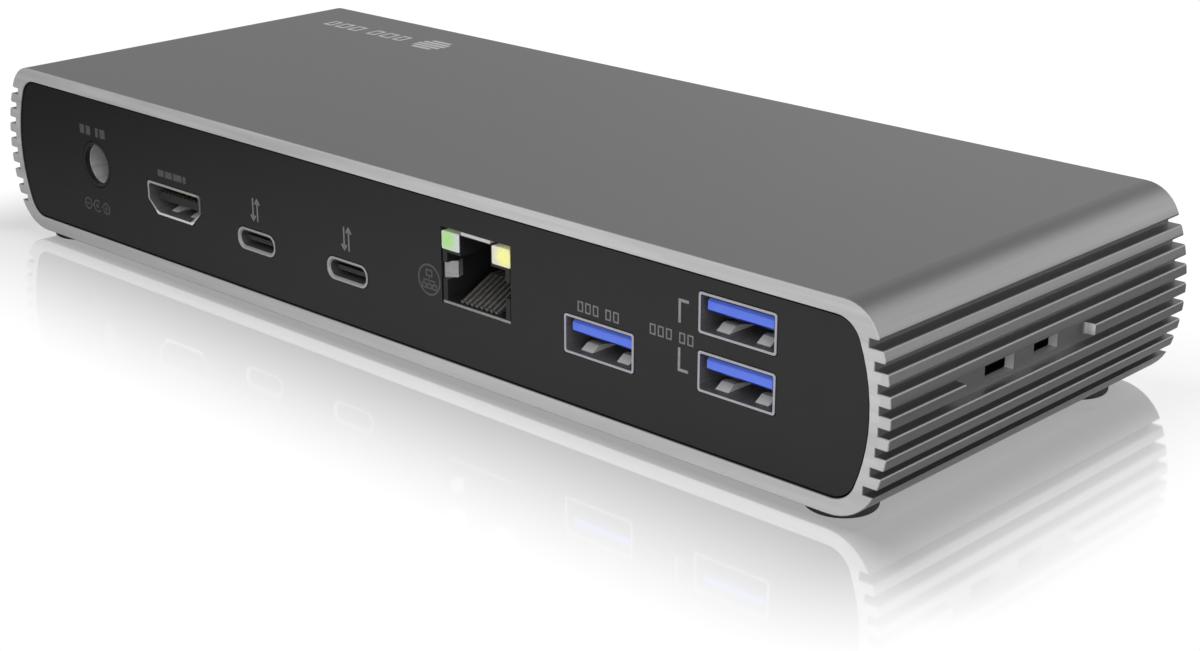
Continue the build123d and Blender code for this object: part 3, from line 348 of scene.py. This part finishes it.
def light_window(name, cx, cz, glow, rim, edge, ratio):
    """Milky light pipe: lit core, paler surround. cx, cz is the centre of its lit core."""
    k = Mat(name)
    dx = k.math("SUBTRACT", k.axis("X"), cx)
    dz = k.math("SUBTRACT", k.axis("Z"), cz)
    d = k.math("SQRT", k.math("ADD", k.math("MULTIPLY", dx, dx), k.math("MULTIPLY", dz, dz)))
    d = k.math("ADD", d, k.span(k.noise(900, 3.0), 0.3, 0.7, -0.00025, 0.00025))
    core = k.span(d, 0.0006, 0.0021, 1.0, 0.0, smooth=True)
    milk = k.mix(k.span(d, 0.0012, 0.0028), rim, edge)
    c = k.mix(core, milk, glow)
    e = k.mix(core, tuple(v * 0.40 for v in rim), tuple(v * ratio for v in glow))
    fine = k.noise(3000, 2.0)
    k.set(color=c, rough=k.span(fine, 0.3, 0.7, 0.22, 0.34), emit=e, power=0.42, sss=0.0,
          normal=k.bump(fine, 0.000008, 0.4))
    return k


def circuit_board():
    k = Mat("board_laminate")
    n1 = k.voronoi(420, "DISTANCE_TO_EDGE", stretch=(1, 1, 0.01))
    trace = k.span(n1, 0.02, 0.06, 1.0, 0.0)
    c = k.mix(k.noise(60, 2.0), (0.010, 0.055, 0.030), (0.016, 0.075, 0.042))
    c = k.mix(k.math("MULTIPLY", trace, 0.6), c, (0.035, 0.15, 0.075))
    edge = k.span(k.math("ABSOLUTE", k.normal_axis("Z")), 0.3, 0.7, 1.0, 0.0)
    c = k.mix(edge, c, (0.30, 0.27, 0.14))
    k.set(color=c, rough=k.span(k.noise(500, 3.0), 0.3, 0.7, 0.28, 0.45), spec=0.5,
          normal=k.bump(trace, 0.00002, 0.5))
    return k


def resin(name, tone=0.03):
    k = Mat(name)
    g = k.noise(3200, 3.0, 0.6)
    c = k.mix(k.span(g, 0.3, 0.7), (tone * 0.7,) * 3, (tone * 1.3,) * 3)
    k.set(color=c, rough=k.span(g, 0.3, 0.7, 0.5, 0.7), spec=0.4, normal=k.bump(g, 0.00001, 0.6))
    return k


def ink(name, tone):
    """Pad-printed grey ink, a little uneven."""
    k = Mat(name)
    g = k.noise(2400, 4.0, 0.65)
    c = k.mix(k.span(g, 0.35, 0.7), (tone * 0.8,) * 3, (tone * 1.15,) * 3)
    k.set(color=c, rough=k.span(g, 0.3, 0.7, 0.5, 0.65), spec=0.3, normal=k.bump(g, 0.000004, 0.4))
    return k


m_shell = bead_blasted()
m_panel = satin_black("panel_plastic", 0.0105, (0.31, 0.37))
m_moulded = satin_black("connector_black", 0.014, (0.35, 0.5), 3600, 0.000014)
m_dark = satin_black("tongue_black", 0.022, (0.3, 0.45), 3600, 0.00001)
m_tin = plated("connector_shell")
m_sleeve = plated("dc_sleeve", (0.40, 0.40, 0.40), (0.54, 0.54, 0.535), (0.40, 0.55), metal=0.25)
m_black_steel = satin_black("black_steel", 0.012, (0.42, 0.55), 3000, 0.00001)
m_zinc = plated("bracket_steel", (0.42, 0.43, 0.44), (0.58, 0.59, 0.60), (0.35, 0.5), stretch=(0.05, 1, 1))
m_screw = plated("screw_steel", (0.38, 0.38, 0.39), (0.52, 0.52, 0.53), (0.28, 0.42), stretch=(1, 1, 1))
m_gold = plated("contact_gold", (0.42, 0.36, 0.22), (0.62, 0.54, 0.34), (0.25, 0.4))
m_wire = plated("contact_wire", (0.17, 0.165, 0.155), (0.28, 0.27, 0.25), (0.34, 0.48), metal=0.6)
m_pin = plated("dc_pin", (0.30, 0.30, 0.30), (0.44, 0.44, 0.43), (0.35, 0.5), metal=0.9)
# the dark navy for downward faces is painted shade
m_blue = glossy_plastic("tongue_blue", (0.085, 0.165, 0.78), (0.125, 0.225, 0.92), (0.34, 0.46),
                        painted_underside_shade=(0.012, 0.025, 0.20))
m_rubber = rubber("foot_rubber")
m_tape = rubber("bonding_tape", 0.03)
m_pad = rubber("thermal_pad", 0.30)
m_board = circuit_board()
m_chip = resin("chip_resin")
m_button = satin_black("button_plastic", 0.05, (0.38, 0.48), 4800, 0.000008)
m_switch = satin_black("switch_plastic", 0.03)
m_clear = glossy_plastic("light_clear", (0.70, 0.72, 0.74), (0.84, 0.86, 0.88), (0.15, 0.25),
                         emit=(0.55, 0.62, 0.70), power=0.15)
m_can = plated("capacitor_can", (0.60, 0.60, 0.62), (0.76, 0.76, 0.78), (0.2, 0.3))
m_spread = plated("spreader_aluminium", (0.52, 0.52, 0.53), (0.68, 0.68, 0.69), (0.34, 0.48),
                  stretch=(0.05, 1, 1))
m_ink = ink("printed_ink", 0.19)
m_ink_bold = ink("printed_ink_bold", 0.27)
m_ink_dim = ink("printed_ink_dim", 0.085)
m_ink_top = ink("printed_ink_top", 0.44)

give(m_shell, "enclosure_extrusion")
give(m_panel, "rear_panel", "front_panel")
give(m_tape, "rear_panel_tape", "front_panel_tape")
give(m_zinc, "rear_bracket", "front_bracket")
give(m_black_steel, "lock_slot_cup")
give(m_screw, "bracket_screws", "heat_spreader_screws")
give(m_rubber, "foot_rear_left", "foot_rear_right", "foot_front_left", "foot_front_right")
give(m_board, "main_board")
give(m_moulded, "dc_jack_housing", "ethernet_housing", "usb_a_stack_carrier", "audio_jack_housing",
     "card_slot_housing")
give(m_dark, "hdmi_tongue", "usb_c_rear_left_tongue", "usb_c_rear_right_tongue", "usb_c_host_tongue")
give(m_tin, "audio_jack_ring", "card_slot_cover")
give(m_sleeve, "dc_jack_sleeve")
give(m_pin, "dc_jack_pin")
give(shield("network_shield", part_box("ethernet_shield")[1][2]), "ethernet_shield")
# rim: colour of the front face; wall: inside colour, painted darker as shade
for shell, rim, wall, half in (
        ("usb_a_single", (0.44, 0.43, 0.47), (0.20, 0.20, 0.21), (5.5, 2.48)),
        ("usb_a_upper", (0.44, 0.43, 0.47), (0.20, 0.20, 0.21), (5.5, 2.48)),
        ("usb_a_lower", (0.44, 0.43, 0.47), (0.20, 0.20, 0.21), (5.5, 2.48)),
        ("hdmi", (0.42, 0.42, 0.42), (0.21, 0.21, 0.21), (4.0, 2.31)),
        ("usb_c_rear_left", (0.40, 0.40, 0.40), (0.16, 0.16, 0.16), (0.1, 0.1)),
        ("usb_c_rear_right", (0.40, 0.40, 0.40), (0.16, 0.16, 0.16), (0.1, 0.1)),
        ("usb_c_host", (0.40, 0.40, 0.40), (0.16, 0.16, 0.16), (0.1, 0.1))):
    lo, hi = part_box(shell + "_shell")
    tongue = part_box(shell + "_tongue")
    mid = (tongue[0][2] + tongue[1][2]) / 2 if shell.startswith("usb") else hi[2] - 2.75 * MM
    give(socket_shell(shell + "_metal", (lo[0] + hi[0]) / 2, mid, rim, wall, half=half,
                      lip=hi[2] - 4.95 * MM if shell == "hdmi" else None), shell + "_shell")
give(m_gold, "hdmi_contacts", "usb_a_single_contacts", "usb_a_stack_contacts",
     "card_slot_contacts")
give(m_wire, "ethernet_contacts")
give(m_blue, "usb_a_single_tongue", "usb_a_upper_tongue", "usb_a_lower_tongue")
for side, name, glow, rim, edge, dx, ratio in (
        ("ethernet_light_green", "light_green", (0.36, 0.62, 0.24), (0.50, 0.60, 0.46),
         (0.60, 0.58, 0.66), -0.75 * MM, 0.60),
        ("ethernet_light_yellow", "light_yellow", (0.76, 0.75, 0.26), (0.70, 0.70, 0.48),
         (0.68, 0.61, 0.57), 0.55 * MM, 0.80)):
    lo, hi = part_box(side)
    give(light_window(name, (lo[0] + hi[0]) / 2 + dx, (lo[2] + hi[2]) / 2 + 0.2 * MM,
                      glow, rim, edge, ratio), side)
give(m_clear, "status_light_pipe", "status_led")
give(m_button, "power_button")
give(m_switch, "tact_switch_body", "tact_switch_plunger", "button_guide")
give(m_chip, "controller_chip", "usb_hub_chip", "ethernet_chip", "power_inductors")
give(m_can, "capacitors")
give(m_spread, "heat_spreader")
give(m_pad, "thermal_pad_controller", "thermal_pad_case")


# ------------------------------------------------------------- printed marks
class Plate:
    """Flat printed shapes on a plane. u runs right and v up as a reader sees them, in mm."""

    def __init__(self, name, origin, right, up, out, thick=0.018):
        self.name, self.o = name, Vector(origin)
        self.r, self.u, self.n = Vector(right), Vector(up), Vector(out)
        self.bm = bmesh.new()
        self.thick = thick

    def at(self, p, h):
        return self.o + (self.r * p[0] + self.u * p[1] + self.n * h) * MM

    def poly(self, pts):
        low = [self.bm.verts.new(self.at(p, -0.004)) for p in pts]
        top = [self.bm.verts.new(self.at(p, self.thick)) for p in pts]
        n = len(pts)
        self.bm.faces.new(top)
        self.bm.faces.new(low[::-1])
        for i in range(n):
            j = (i + 1) % n
            self.bm.faces.new((low[i], low[j], top[j], top[i]))

    def line(self, a, b, w=0.28):
        d = Vector((b[0] - a[0], b[1] - a[1]))
        d.normalize()
        s = Vector((-d.y, d.x)) * w / 2
        e = d * w / 2
        self.poly([(a[0] - e.x + s.x, a[1] - e.y + s.y), (a[0] - e.x - s.x, a[1] - e.y - s.y),
                   (b[0] + e.x - s.x, b[1] + e.y - s.y), (b[0] + e.x + s.x, b[1] + e.y + s.y)])

    def path(self, pts, w=0.28, closed=False):
        """Mitred stroke, one closed band."""
        P = [Vector(p) for p in pts]
        n = len(P)
        rows = []
        for i in range(n):
            a = P[(i - 1) % n] if closed or i > 0 else None
            b = P[(i + 1) % n] if closed or i < n - 1 else None
            d1 = (P[i] - a).normalized() if a is not None else None
            d2 = (b - P[i]).normalized() if b is not None else None
            d1 = d1 if d1 is not None else d2
            d2 = d2 if d2 is not None else d1
            n1, n2 = Vector((-d1.y, d1.x)), Vector((-d2.y, d2.x))
            m = (n1 + n2).normalized()
            k = (w / 2) / max(0.35, m.dot(n1))
            end = Vector((0, 0))
            rows.append((P[i] + m * k + end, P[i] - m * k + end))
        quads = range(n if closed else n - 1)
        v = [[self.bm.verts.new(self.at(p, h)) for h in (-0.004, self.thick) for p in row] for row in rows]
        for i in quads:
            a, b = v[i], v[(i + 1) % n]
            # rows hold low-left, low-right, top-left, top-right
            self.bm.faces.new((a[2], a[3], b[3], b[2]))
            self.bm.faces.new((a[1], a[0], b[0], b[1]))
            self.bm.faces.new((a[0], a[2], b[2], b[0]))
            self.bm.faces.new((a[3], a[1], b[1], b[3]))
        if not closed:
            for e in (v[0], v[-1]):
                self.bm.faces.new((e[0], e[1], e[3], e[2]))

    def arc(self, c, r, a0=0, a1=360, w=0.28, steps=40):
        full = abs(a1 - a0) >= 360
        k = steps if full else steps + 1
        pts = [(c[0] + r * math.cos(math.radians(a0 + (a1 - a0) * i / steps)),
                c[1] + r * math.sin(math.radians(a0 + (a1 - a0) * i / steps))) for i in range(k)]
        self.path(pts, w, closed=full)

    def disc(self, c, r, steps=28):
        self.poly([(c[0] + r * math.cos(2 * math.pi * i / steps),
                    c[1] + r * math.sin(2 * math.pi * i / steps)) for i in range(steps)])

    def done(self, mat, body="case", slot="panel_plastic"):
        bmesh.ops.recalc_face_normals(self.bm, faces=self.bm.faces)
        me = bpy.data.meshes.new(self.name)
        self.bm.to_mesh(me)
        self.bm.free()
        o = bpy.data.objects.new(self.name, me)
        scene.collection.objects.link(o)
        me.materials.append(mat.m)
        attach(o, body)
        return o


rear_lo, rear_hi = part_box("rear_panel")
front_lo, front_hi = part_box("front_panel")
YR, YF = rear_lo[1], front_hi[1]


def centre(node):
    lo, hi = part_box(node)
    return [(lo[i] + hi[i]) / 2 for i in range(3)]


def rear_plate(name, x, z):
    return Plate(name, (x, YR, z), (1, 0, 0), (0, 0, 1), (0, -1, 0))


def front_plate(name, x, z):
    return Plate(name, (x, YF, z), (-1, 0, 0), (0, 0, 1), (0, 1, 0))


def bars(p, widths, height, gap=0.45):
    """Row of plain blocks in place of lettering; a negative width is a space."""
    total = sum(abs(w) for w in widths) + gap * (len(widths) - 1)
    x = -total / 2
    for w in widths:
        if w > 0:
            p.poly([(x, -height / 2), (x + w, -height / 2), (x + w, height / 2), (x, height / 2)])
        x += abs(w) + gap


def blocks(p, groups, height, w=0.22, cell=1.05, gap=0.4, space=0.9):
    """Groups of small open frames in place of lettering, centred on the plate."""
    total = sum(groups) * cell + (sum(groups) - len(groups)) * gap + (len(groups) - 1) * (space + gap)
    x = -total / 2
    for g in groups:
        for _ in range(g):
            a, b = x + w / 2, x + cell - w / 2
            t, u = height / 2 - w / 2, -height / 2 + w / 2
            p.path([(a, u), (b, u), (b, t), (a, t)], w, closed=True)
            x += cell + gap
        x += space


def polarity(p):
    for s in (-1, 1):
        p.arc((s * 2.7, 0), 0.95, w=0.26)
        p.line((s * 2.7 - 0.45, 0), (s * 2.7 + 0.45, 0), 0.24)
        p.line((s * 1.7, 0), (s * 1.25, 0), 0.24)
    p.line((2.7, -0.45), (2.7, -0.14), 0.24)
    p.line((2.7, 0.14), (2.7, 0.45), 0.24)
    p.arc((0, 0), 1.0, a0=40, a1=320, w=0.26)
    p.disc((0, 0), 0.36)


def link_arrows(p):
    """Generic two-way mark."""
    p.line((0.55, -1.7), (0.55, 1.15), 0.34)
    p.path([(-0.05, 0.95), (0.55, 1.75), (1.15, 0.95)], 0.34)
    p.line((-0.55, 1.7), (-0.55, -1.15), 0.34)
    p.path([(-1.15, -0.95), (-0.55, -1.75), (0.05, -0.95)], 0.34)


def network(p):
    p.arc((0, 0), 2.3, w=0.3)
    p.path([(-0.6, 1.45), (0.6, 1.45), (0.6, 0.6), (-0.6, 0.6)], 0.26, closed=True)
    for x in (-1.15, 0.0, 1.15):
        p.path([(x - 0.4, -0.7), (x + 0.4, -0.7), (x + 0.4, -1.35), (x - 0.4, -1.35)], 0.24, closed=True)
        p.line((x, -0.24), (x, -0.56), 0.22)
    p.line((-1.25, -0.12), (1.25, -0.12), 0.24)
    p.line((0, 0.46), (0, 0.01), 0.22)


dc = centre("dc_jack_sleeve")
p = rear_plate("mark_dc", -71.65 * MM, 22.15 * MM)
bars(p, (1.3, 1.3, -0.5, 0.8, 1.5), 1.6, 0.5)
p.done(m_ink_dim)
p = rear_plate("mark_polarity", -71.8 * MM, 8.8 * MM)
polarity(p)
p.done(m_ink_dim)

hd = centre("hdmi_shell")
p = rear_plate("mark_video", -49.3 * MM, 18.5 * MM)
bars(p, (1.7, 1.9, 2.3, 0.8), 1.15, 0.35)
p.done(m_ink_dim)

for k in ("left", "right"):
    c = centre(f"usb_c_rear_{k}_tongue")
    p = rear_plate(f"mark_link_{k}", c[0], c[2] + 5.3 * MM)
    link_arrows(p)
    p.done(m_ink)

p = rear_plate("mark_network", 13.75 * MM, 15.1 * MM)
network(p)
p.done(m_ink_dim)

c = centre("usb_a_single_shell")
p = rear_plate("mark_data_single", 48.0 * MM, 18.35 * MM)
blocks(p, (3, 2), 1.55)
p.done(m_ink)

cu, cl = centre("usb_a_upper_shell"), centre("usb_a_lower_shell")
p = rear_plate("mark_bracket", cu[0], (cu[2] + cl[2]) / 2)
h = (cu[2] - cl[2]) / 2 / MM
for s in (-1, 1):
    p.path([(-8.3, s * 4.9 * h / 4.1), (-9.9, s * 4.9 * h / 4.1), (-9.9, s * 1.75)], 0.42)
p.done(m_ink_bold)
p = rear_plate("mark_data_stack", 61.4 * MM, 18.4 * MM)
blocks(p, (3, 2), 1.55)
p.done(m_ink)

# front panel, seen from +Y: host socket, audio, card slot, power
p = front_plate("mark_host", centre("usb_c_host_tongue")[0], centre("usb_c_host_tongue")[2] + 5.3 * MM)
link_arrows(p)
p.done(m_ink)
c = centre("audio_jack_ring")
p = front_plate("mark_audio", c[0], c[2] + 6.2 * MM)
p.arc((0, -0.3), 1.35, a0=0, a1=180, w=0.3)
for s in (-1, 1):
    p.poly([(s * 1.35 - 0.35, -1.35), (s * 1.35 + 0.35, -1.35), (s * 1.35 + 0.35, -0.25), (s * 1.35 - 0.35, -0.25)])
p.done(m_ink)
c = centre("card_slot_housing")
p = front_plate("mark_card", c[0], 17.4 * MM)
p.path([(-1.1, -1.5), (1.1, -1.5), (1.1, 1.5), (-0.45, 1.5), (-1.1, 0.85)], 0.28, closed=True)
for x in (-0.2, 0.35, 0.9):
    p.line((x - 0.1, 0.55), (x - 0.1, 1.05), 0.2)
p.done(m_ink)
c = centre("power_button")
p = front_plate("mark_power", c[0], c[2] + 7.2 * MM)
p.arc((0, 0), 1.25, a0=120, a1=420, w=0.3)
p.line((0, 0.35), (0, 1.55), 0.3)
p.done(m_ink)

# top: a row of plain blocks and a striped disc near the back left corner
shell_lo, shell_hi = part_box("enclosure_extrusion")
p = Plate("mark_top", (-67.6 * MM, 25.4 * MM, shell_hi[2]), (1, 0, 0), (0, 1, 0), (0, 0, 1), thick=0.012)
x = -13.4
for i, w in enumerate((2.2, 2.6, 2.6, 0.0, 2.4, 2.9, 2.4)):
    if w:
        t = 0.55
        p.path([(x + t / 2, -1.45), (x + w - t / 2, -1.45), (x + w - t / 2, 1.45), (x + t / 2, 1.45)], t,
               closed=True)
    x += (w if w else 0.7) + 1.05
for i in range(5):
    yy = -2.6 + i * 1.3
    hw = math.sqrt(max(0.1, 3.55 ** 2 - yy ** 2))
    p.poly([(15.6 - hw, yy - 0.45), (15.6 + hw, yy - 0.45), (15.6 + hw, yy + 0.45), (15.6 - hw, yy + 0.45)])
p.done(m_ink_top, slot="anodised_shell")

# ------------------------------------------------------------------- the stage
def node_tree(mat):
    mat.use_nodes = True
    nt = mat.node_tree
    nt.nodes.clear()
    return nt


def floor():
    bm = bmesh.new()
    s = 6.0
    for x, y in ((-s, -s), (s, -s), (s, s), (-s, s)):
        bm.verts.new((x, y, 0))
    bm.faces.new(bm.verts)
    me = bpy.data.meshes.new("floor")
    bm.to_mesh(me)
    bm.free()
    o = bpy.data.objects.new("floor", me)
    scene.collection.objects.link(o)
    m = bpy.data.materials.new("floor_gloss")
    nt = node_tree(m)
    new, link = nt.nodes.new, nt.links.new

    def mth(op, a, b=None, clamp=False):
        n = new("ShaderNodeMath")
        n.operation, n.use_clamp = op, clamp
        for i, v in enumerate((a, b)):
            if v is None:
                continue
            if isinstance(v, bpy.types.NodeSocket):
                link(v, n.inputs[i])
            else:
                n.inputs[i].default_value = v
        return n.outputs[0]

    co = new("ShaderNodeTexCoord").outputs["Object"]
    sep = new("ShaderNodeSeparateXYZ")
    link(co, sep.inputs[0])
    # distance from the footprint of the case
    dx = mth("MAXIMUM", mth("SUBTRACT", mth("ABSOLUTE", sep.outputs[0]), CAD_BOX[1][0] - 0.004), 0.0)
    dy = mth("MAXIMUM", mth("SUBTRACT", mth("ABSOLUTE", sep.outputs[1]), CAD_BOX[1][1]), 0.0)
    d = mth("SQRT", mth("ADD", mth("MULTIPLY", dx, dx), mth("MULTIPLY", dy, dy)))
    fade = new("ShaderNodeMapRange")
    fade.interpolation_type = "SMOOTHSTEP"
    link(d, fade.inputs["Value"])
    fade.inputs["From Min"].default_value = -0.012
    fade.inputs["From Max"].default_value = 0.040
    fade.inputs["To Min"].default_value = 0.62
    fade.inputs["To Max"].default_value = 0.0
    # beside the ends the table mirrors more strongly and over a shorter stretch
    beside = new("ShaderNodeMapRange")
    beside.interpolation_type = "SMOOTHSTEP"
    link(d, beside.inputs["Value"])
    beside.inputs["From Min"].default_value = -0.004
    beside.inputs["From Max"].default_value = 0.031
    beside.inputs["To Min"].default_value = 0.80
    beside.inputs["To Max"].default_value = 0.0
    turn = new("ShaderNodeMapRange")
    turn.interpolation_type = "SMOOTHSTEP"
    link(mth("SUBTRACT", dx, dy), turn.inputs["Value"])
    turn.inputs["From Min"].default_value = -0.006
    turn.inputs["From Max"].default_value = 0.006
    level = mth("ADD", mth("MULTIPLY", beside.outputs["Result"], turn.outputs["Result"]),
                mth("MULTIPLY", fade.outputs["Result"], mth("SUBTRACT", 1.0, turn.outputs["Result"])))
    white = new("ShaderNodeEmission")
    white.inputs[0].default_value = (1, 1, 1, 1)
    white.inputs[1].default_value = 1.03
    gloss = new("ShaderNodeBsdfGlossy")
    gloss.inputs["Color"].default_value = (1, 1, 1, 1)
    gloss.inputs["Roughness"].default_value = 0.06
    seen = new("ShaderNodeMixShader")
    link(level, seen.inputs[0])
    link(white.outputs[0], seen.inputs[1])
    link(gloss.outputs[0], seen.inputs[2])
    matt = new("ShaderNodeBsdfDiffuse")
    # darker past both ends, as the light falls on the table
    left = new("ShaderNodeMapRange")
    left.interpolation_type = "SMOOTHSTEP"
    link(sep.outputs[0], left.inputs["Value"])
    left.inputs["From Min"].default_value = -0.20
    left.inputs["From Max"].default_value = 0.05
    left.inputs["To Min"].default_value = 0.16
    left.inputs["To Max"].default_value = 1.35
    side = new("ShaderNodeMapRange")
    side.interpolation_type = "SMOOTHSTEP"
    link(sep.outputs[0], side.inputs["Value"])
    side.inputs["From Min"].default_value = 0.07
    side.inputs["From Max"].default_value = 0.13
    side.inputs["To Min"].default_value = 1.0
    side.inputs["To Max"].default_value = 0.35
    grey = new("ShaderNodeCombineXYZ")
    level = mth("MULTIPLY", mth("MULTIPLY", 0.62, side.outputs["Result"]), left.outputs["Result"])
    for k in range(3):
        link(level, grey.inputs[k])
    link(grey.outputs[0], matt.inputs[0])
    path = new("ShaderNodeLightPath")
    both = new("ShaderNodeMixShader")
    link(path.outputs["Is Camera Ray"], both.inputs[0])
    link(matt.outputs[0], both.inputs[1])
    link(seen.outputs[0], both.inputs[2])
    out = new("ShaderNodeOutputMaterial")
    link(both.outputs[0], out.inputs["Surface"])
    me.materials.append(m)
    return o


floor()

world = bpy.data.worlds.new("studio")
scene.world = world
world.use_nodes = True
wt = world.node_tree
wt.nodes.clear()


def studio(base, boxes):
    """Even white room with soft boxes: each adds or takes light round one direction."""
    new, link = wt.nodes.new, wt.links.new
    co = new("ShaderNodeTexCoord").outputs["Generated"]
    unit = new("ShaderNodeVectorMath")
    unit.operation = "NORMALIZE"
    link(co, unit.inputs[0])
    total = None
    for way, inner, outer, gain in boxes:
        v = Vector(way).normalized()
        dot = new("ShaderNodeVectorMath")
        dot.operation = "DOT_PRODUCT"
        link(unit.outputs[0], dot.inputs[0])
        dot.inputs[1].default_value = v
        m = new("ShaderNodeMapRange")
        m.interpolation_type = "SMOOTHSTEP"
        link(dot.outputs["Value"], m.inputs["Value"])
        m.inputs["From Min"].default_value = math.cos(math.radians(outer))
        m.inputs["From Max"].default_value = math.cos(math.radians(inner))
        m.inputs["To Min"].default_value = 0.0
        m.inputs["To Max"].default_value = gain
        a = new("ShaderNodeMath")
        a.operation = "ADD"
        link(m.outputs["Result"], a.inputs[0])
        if total is None:
            a.inputs[1].default_value = base
        else:
            link(total, a.inputs[1])
        total = a.outputs[0]
    floor0 = new("ShaderNodeMath")
    floor0.operation = "MAXIMUM"
    link(total, floor0.inputs[0])
    floor0.inputs[1].default_value = 0.05
    bg = new("ShaderNodeBackground")
    bg.inputs[0].default_value = (1, 1, 1, 1)
    link(floor0.outputs[0], bg.inputs[1])
    # the camera sees a plain white backdrop
    flat = new("ShaderNodeBackground")
    flat.inputs[0].default_value = (1, 1, 1, 1)
    flat.inputs[1].default_value = 1.03
    path = new("ShaderNodeLightPath")
    both = new("ShaderNodeMixShader")
    link(path.outputs["Is Camera Ray"], both.inputs[0])
    link(bg.outputs[0], both.inputs[1])
    link(flat.outputs[0], both.inputs[2])
    out = new("ShaderNodeOutputWorld")
    link(both.outputs[0], out.inputs[0])


studio(0.80, (
    ((0.62, 0.72, 0.34), 10, 48, 1.3),      # soft box behind the right end
    ((-0.20, 0.62, 0.78), 5, 30, -0.45),    # dark gap above it
    ((0.55, -0.60, 0.60), 10, 60, 0.40),
    ((-0.88, 0.45, 0.12), 5, 34, -0.32),    # less light from the far left
    ((-0.80, -0.55, 0.05), 10, 45, -0.40),
))


def area(name, loc, target, size, power, size_y=None):
    l = bpy.data.lights.new(name, "AREA")
    l.energy = power
    l.size = size
    if size_y:
        l.shape = "RECTANGLE"
        l.size_y = size_y
    o = bpy.data.objects.new(name, l)
    scene.collection.objects.link(o)
    o.location = loc
    o.rotation_euler = (Vector(target) - Vector(loc)).to_track_quat("-Z", "Y").to_euler()
    return o


area("key", (0.42, -0.30, 0.42), (0.04, 0, 0.01), 0.30, 0.5)
low = area("low_fill", (0.19, -0.20, 0.03), (0.06, -0.036, 0.016), 0.10, 0.050, 0.06)
low.visible_camera = False

cam_data = bpy.data.cameras.new("camera")
cam = bpy.data.objects.new("camera", cam_data)
scene.collection.objects.link(cam)
cam_data.sensor_fit = "HORIZONTAL"
cam_data.sensor_width = 36.0
cam_data.lens = 65.006
cam_data.clip_start = 0.01
cam_data.clip_end = 20.0
cam.location = (0.239938, -0.238399, 0.117166)
yaw, pitch = math.radians(43.384), math.radians(-19.848)
fwd = Vector((-math.sin(yaw) * math.cos(pitch), math.cos(yaw) * math.cos(pitch), math.sin(pitch)))
cam.rotation_euler = fwd.to_track_quat("-Z", "Y").to_euler()
scene.camera = cam
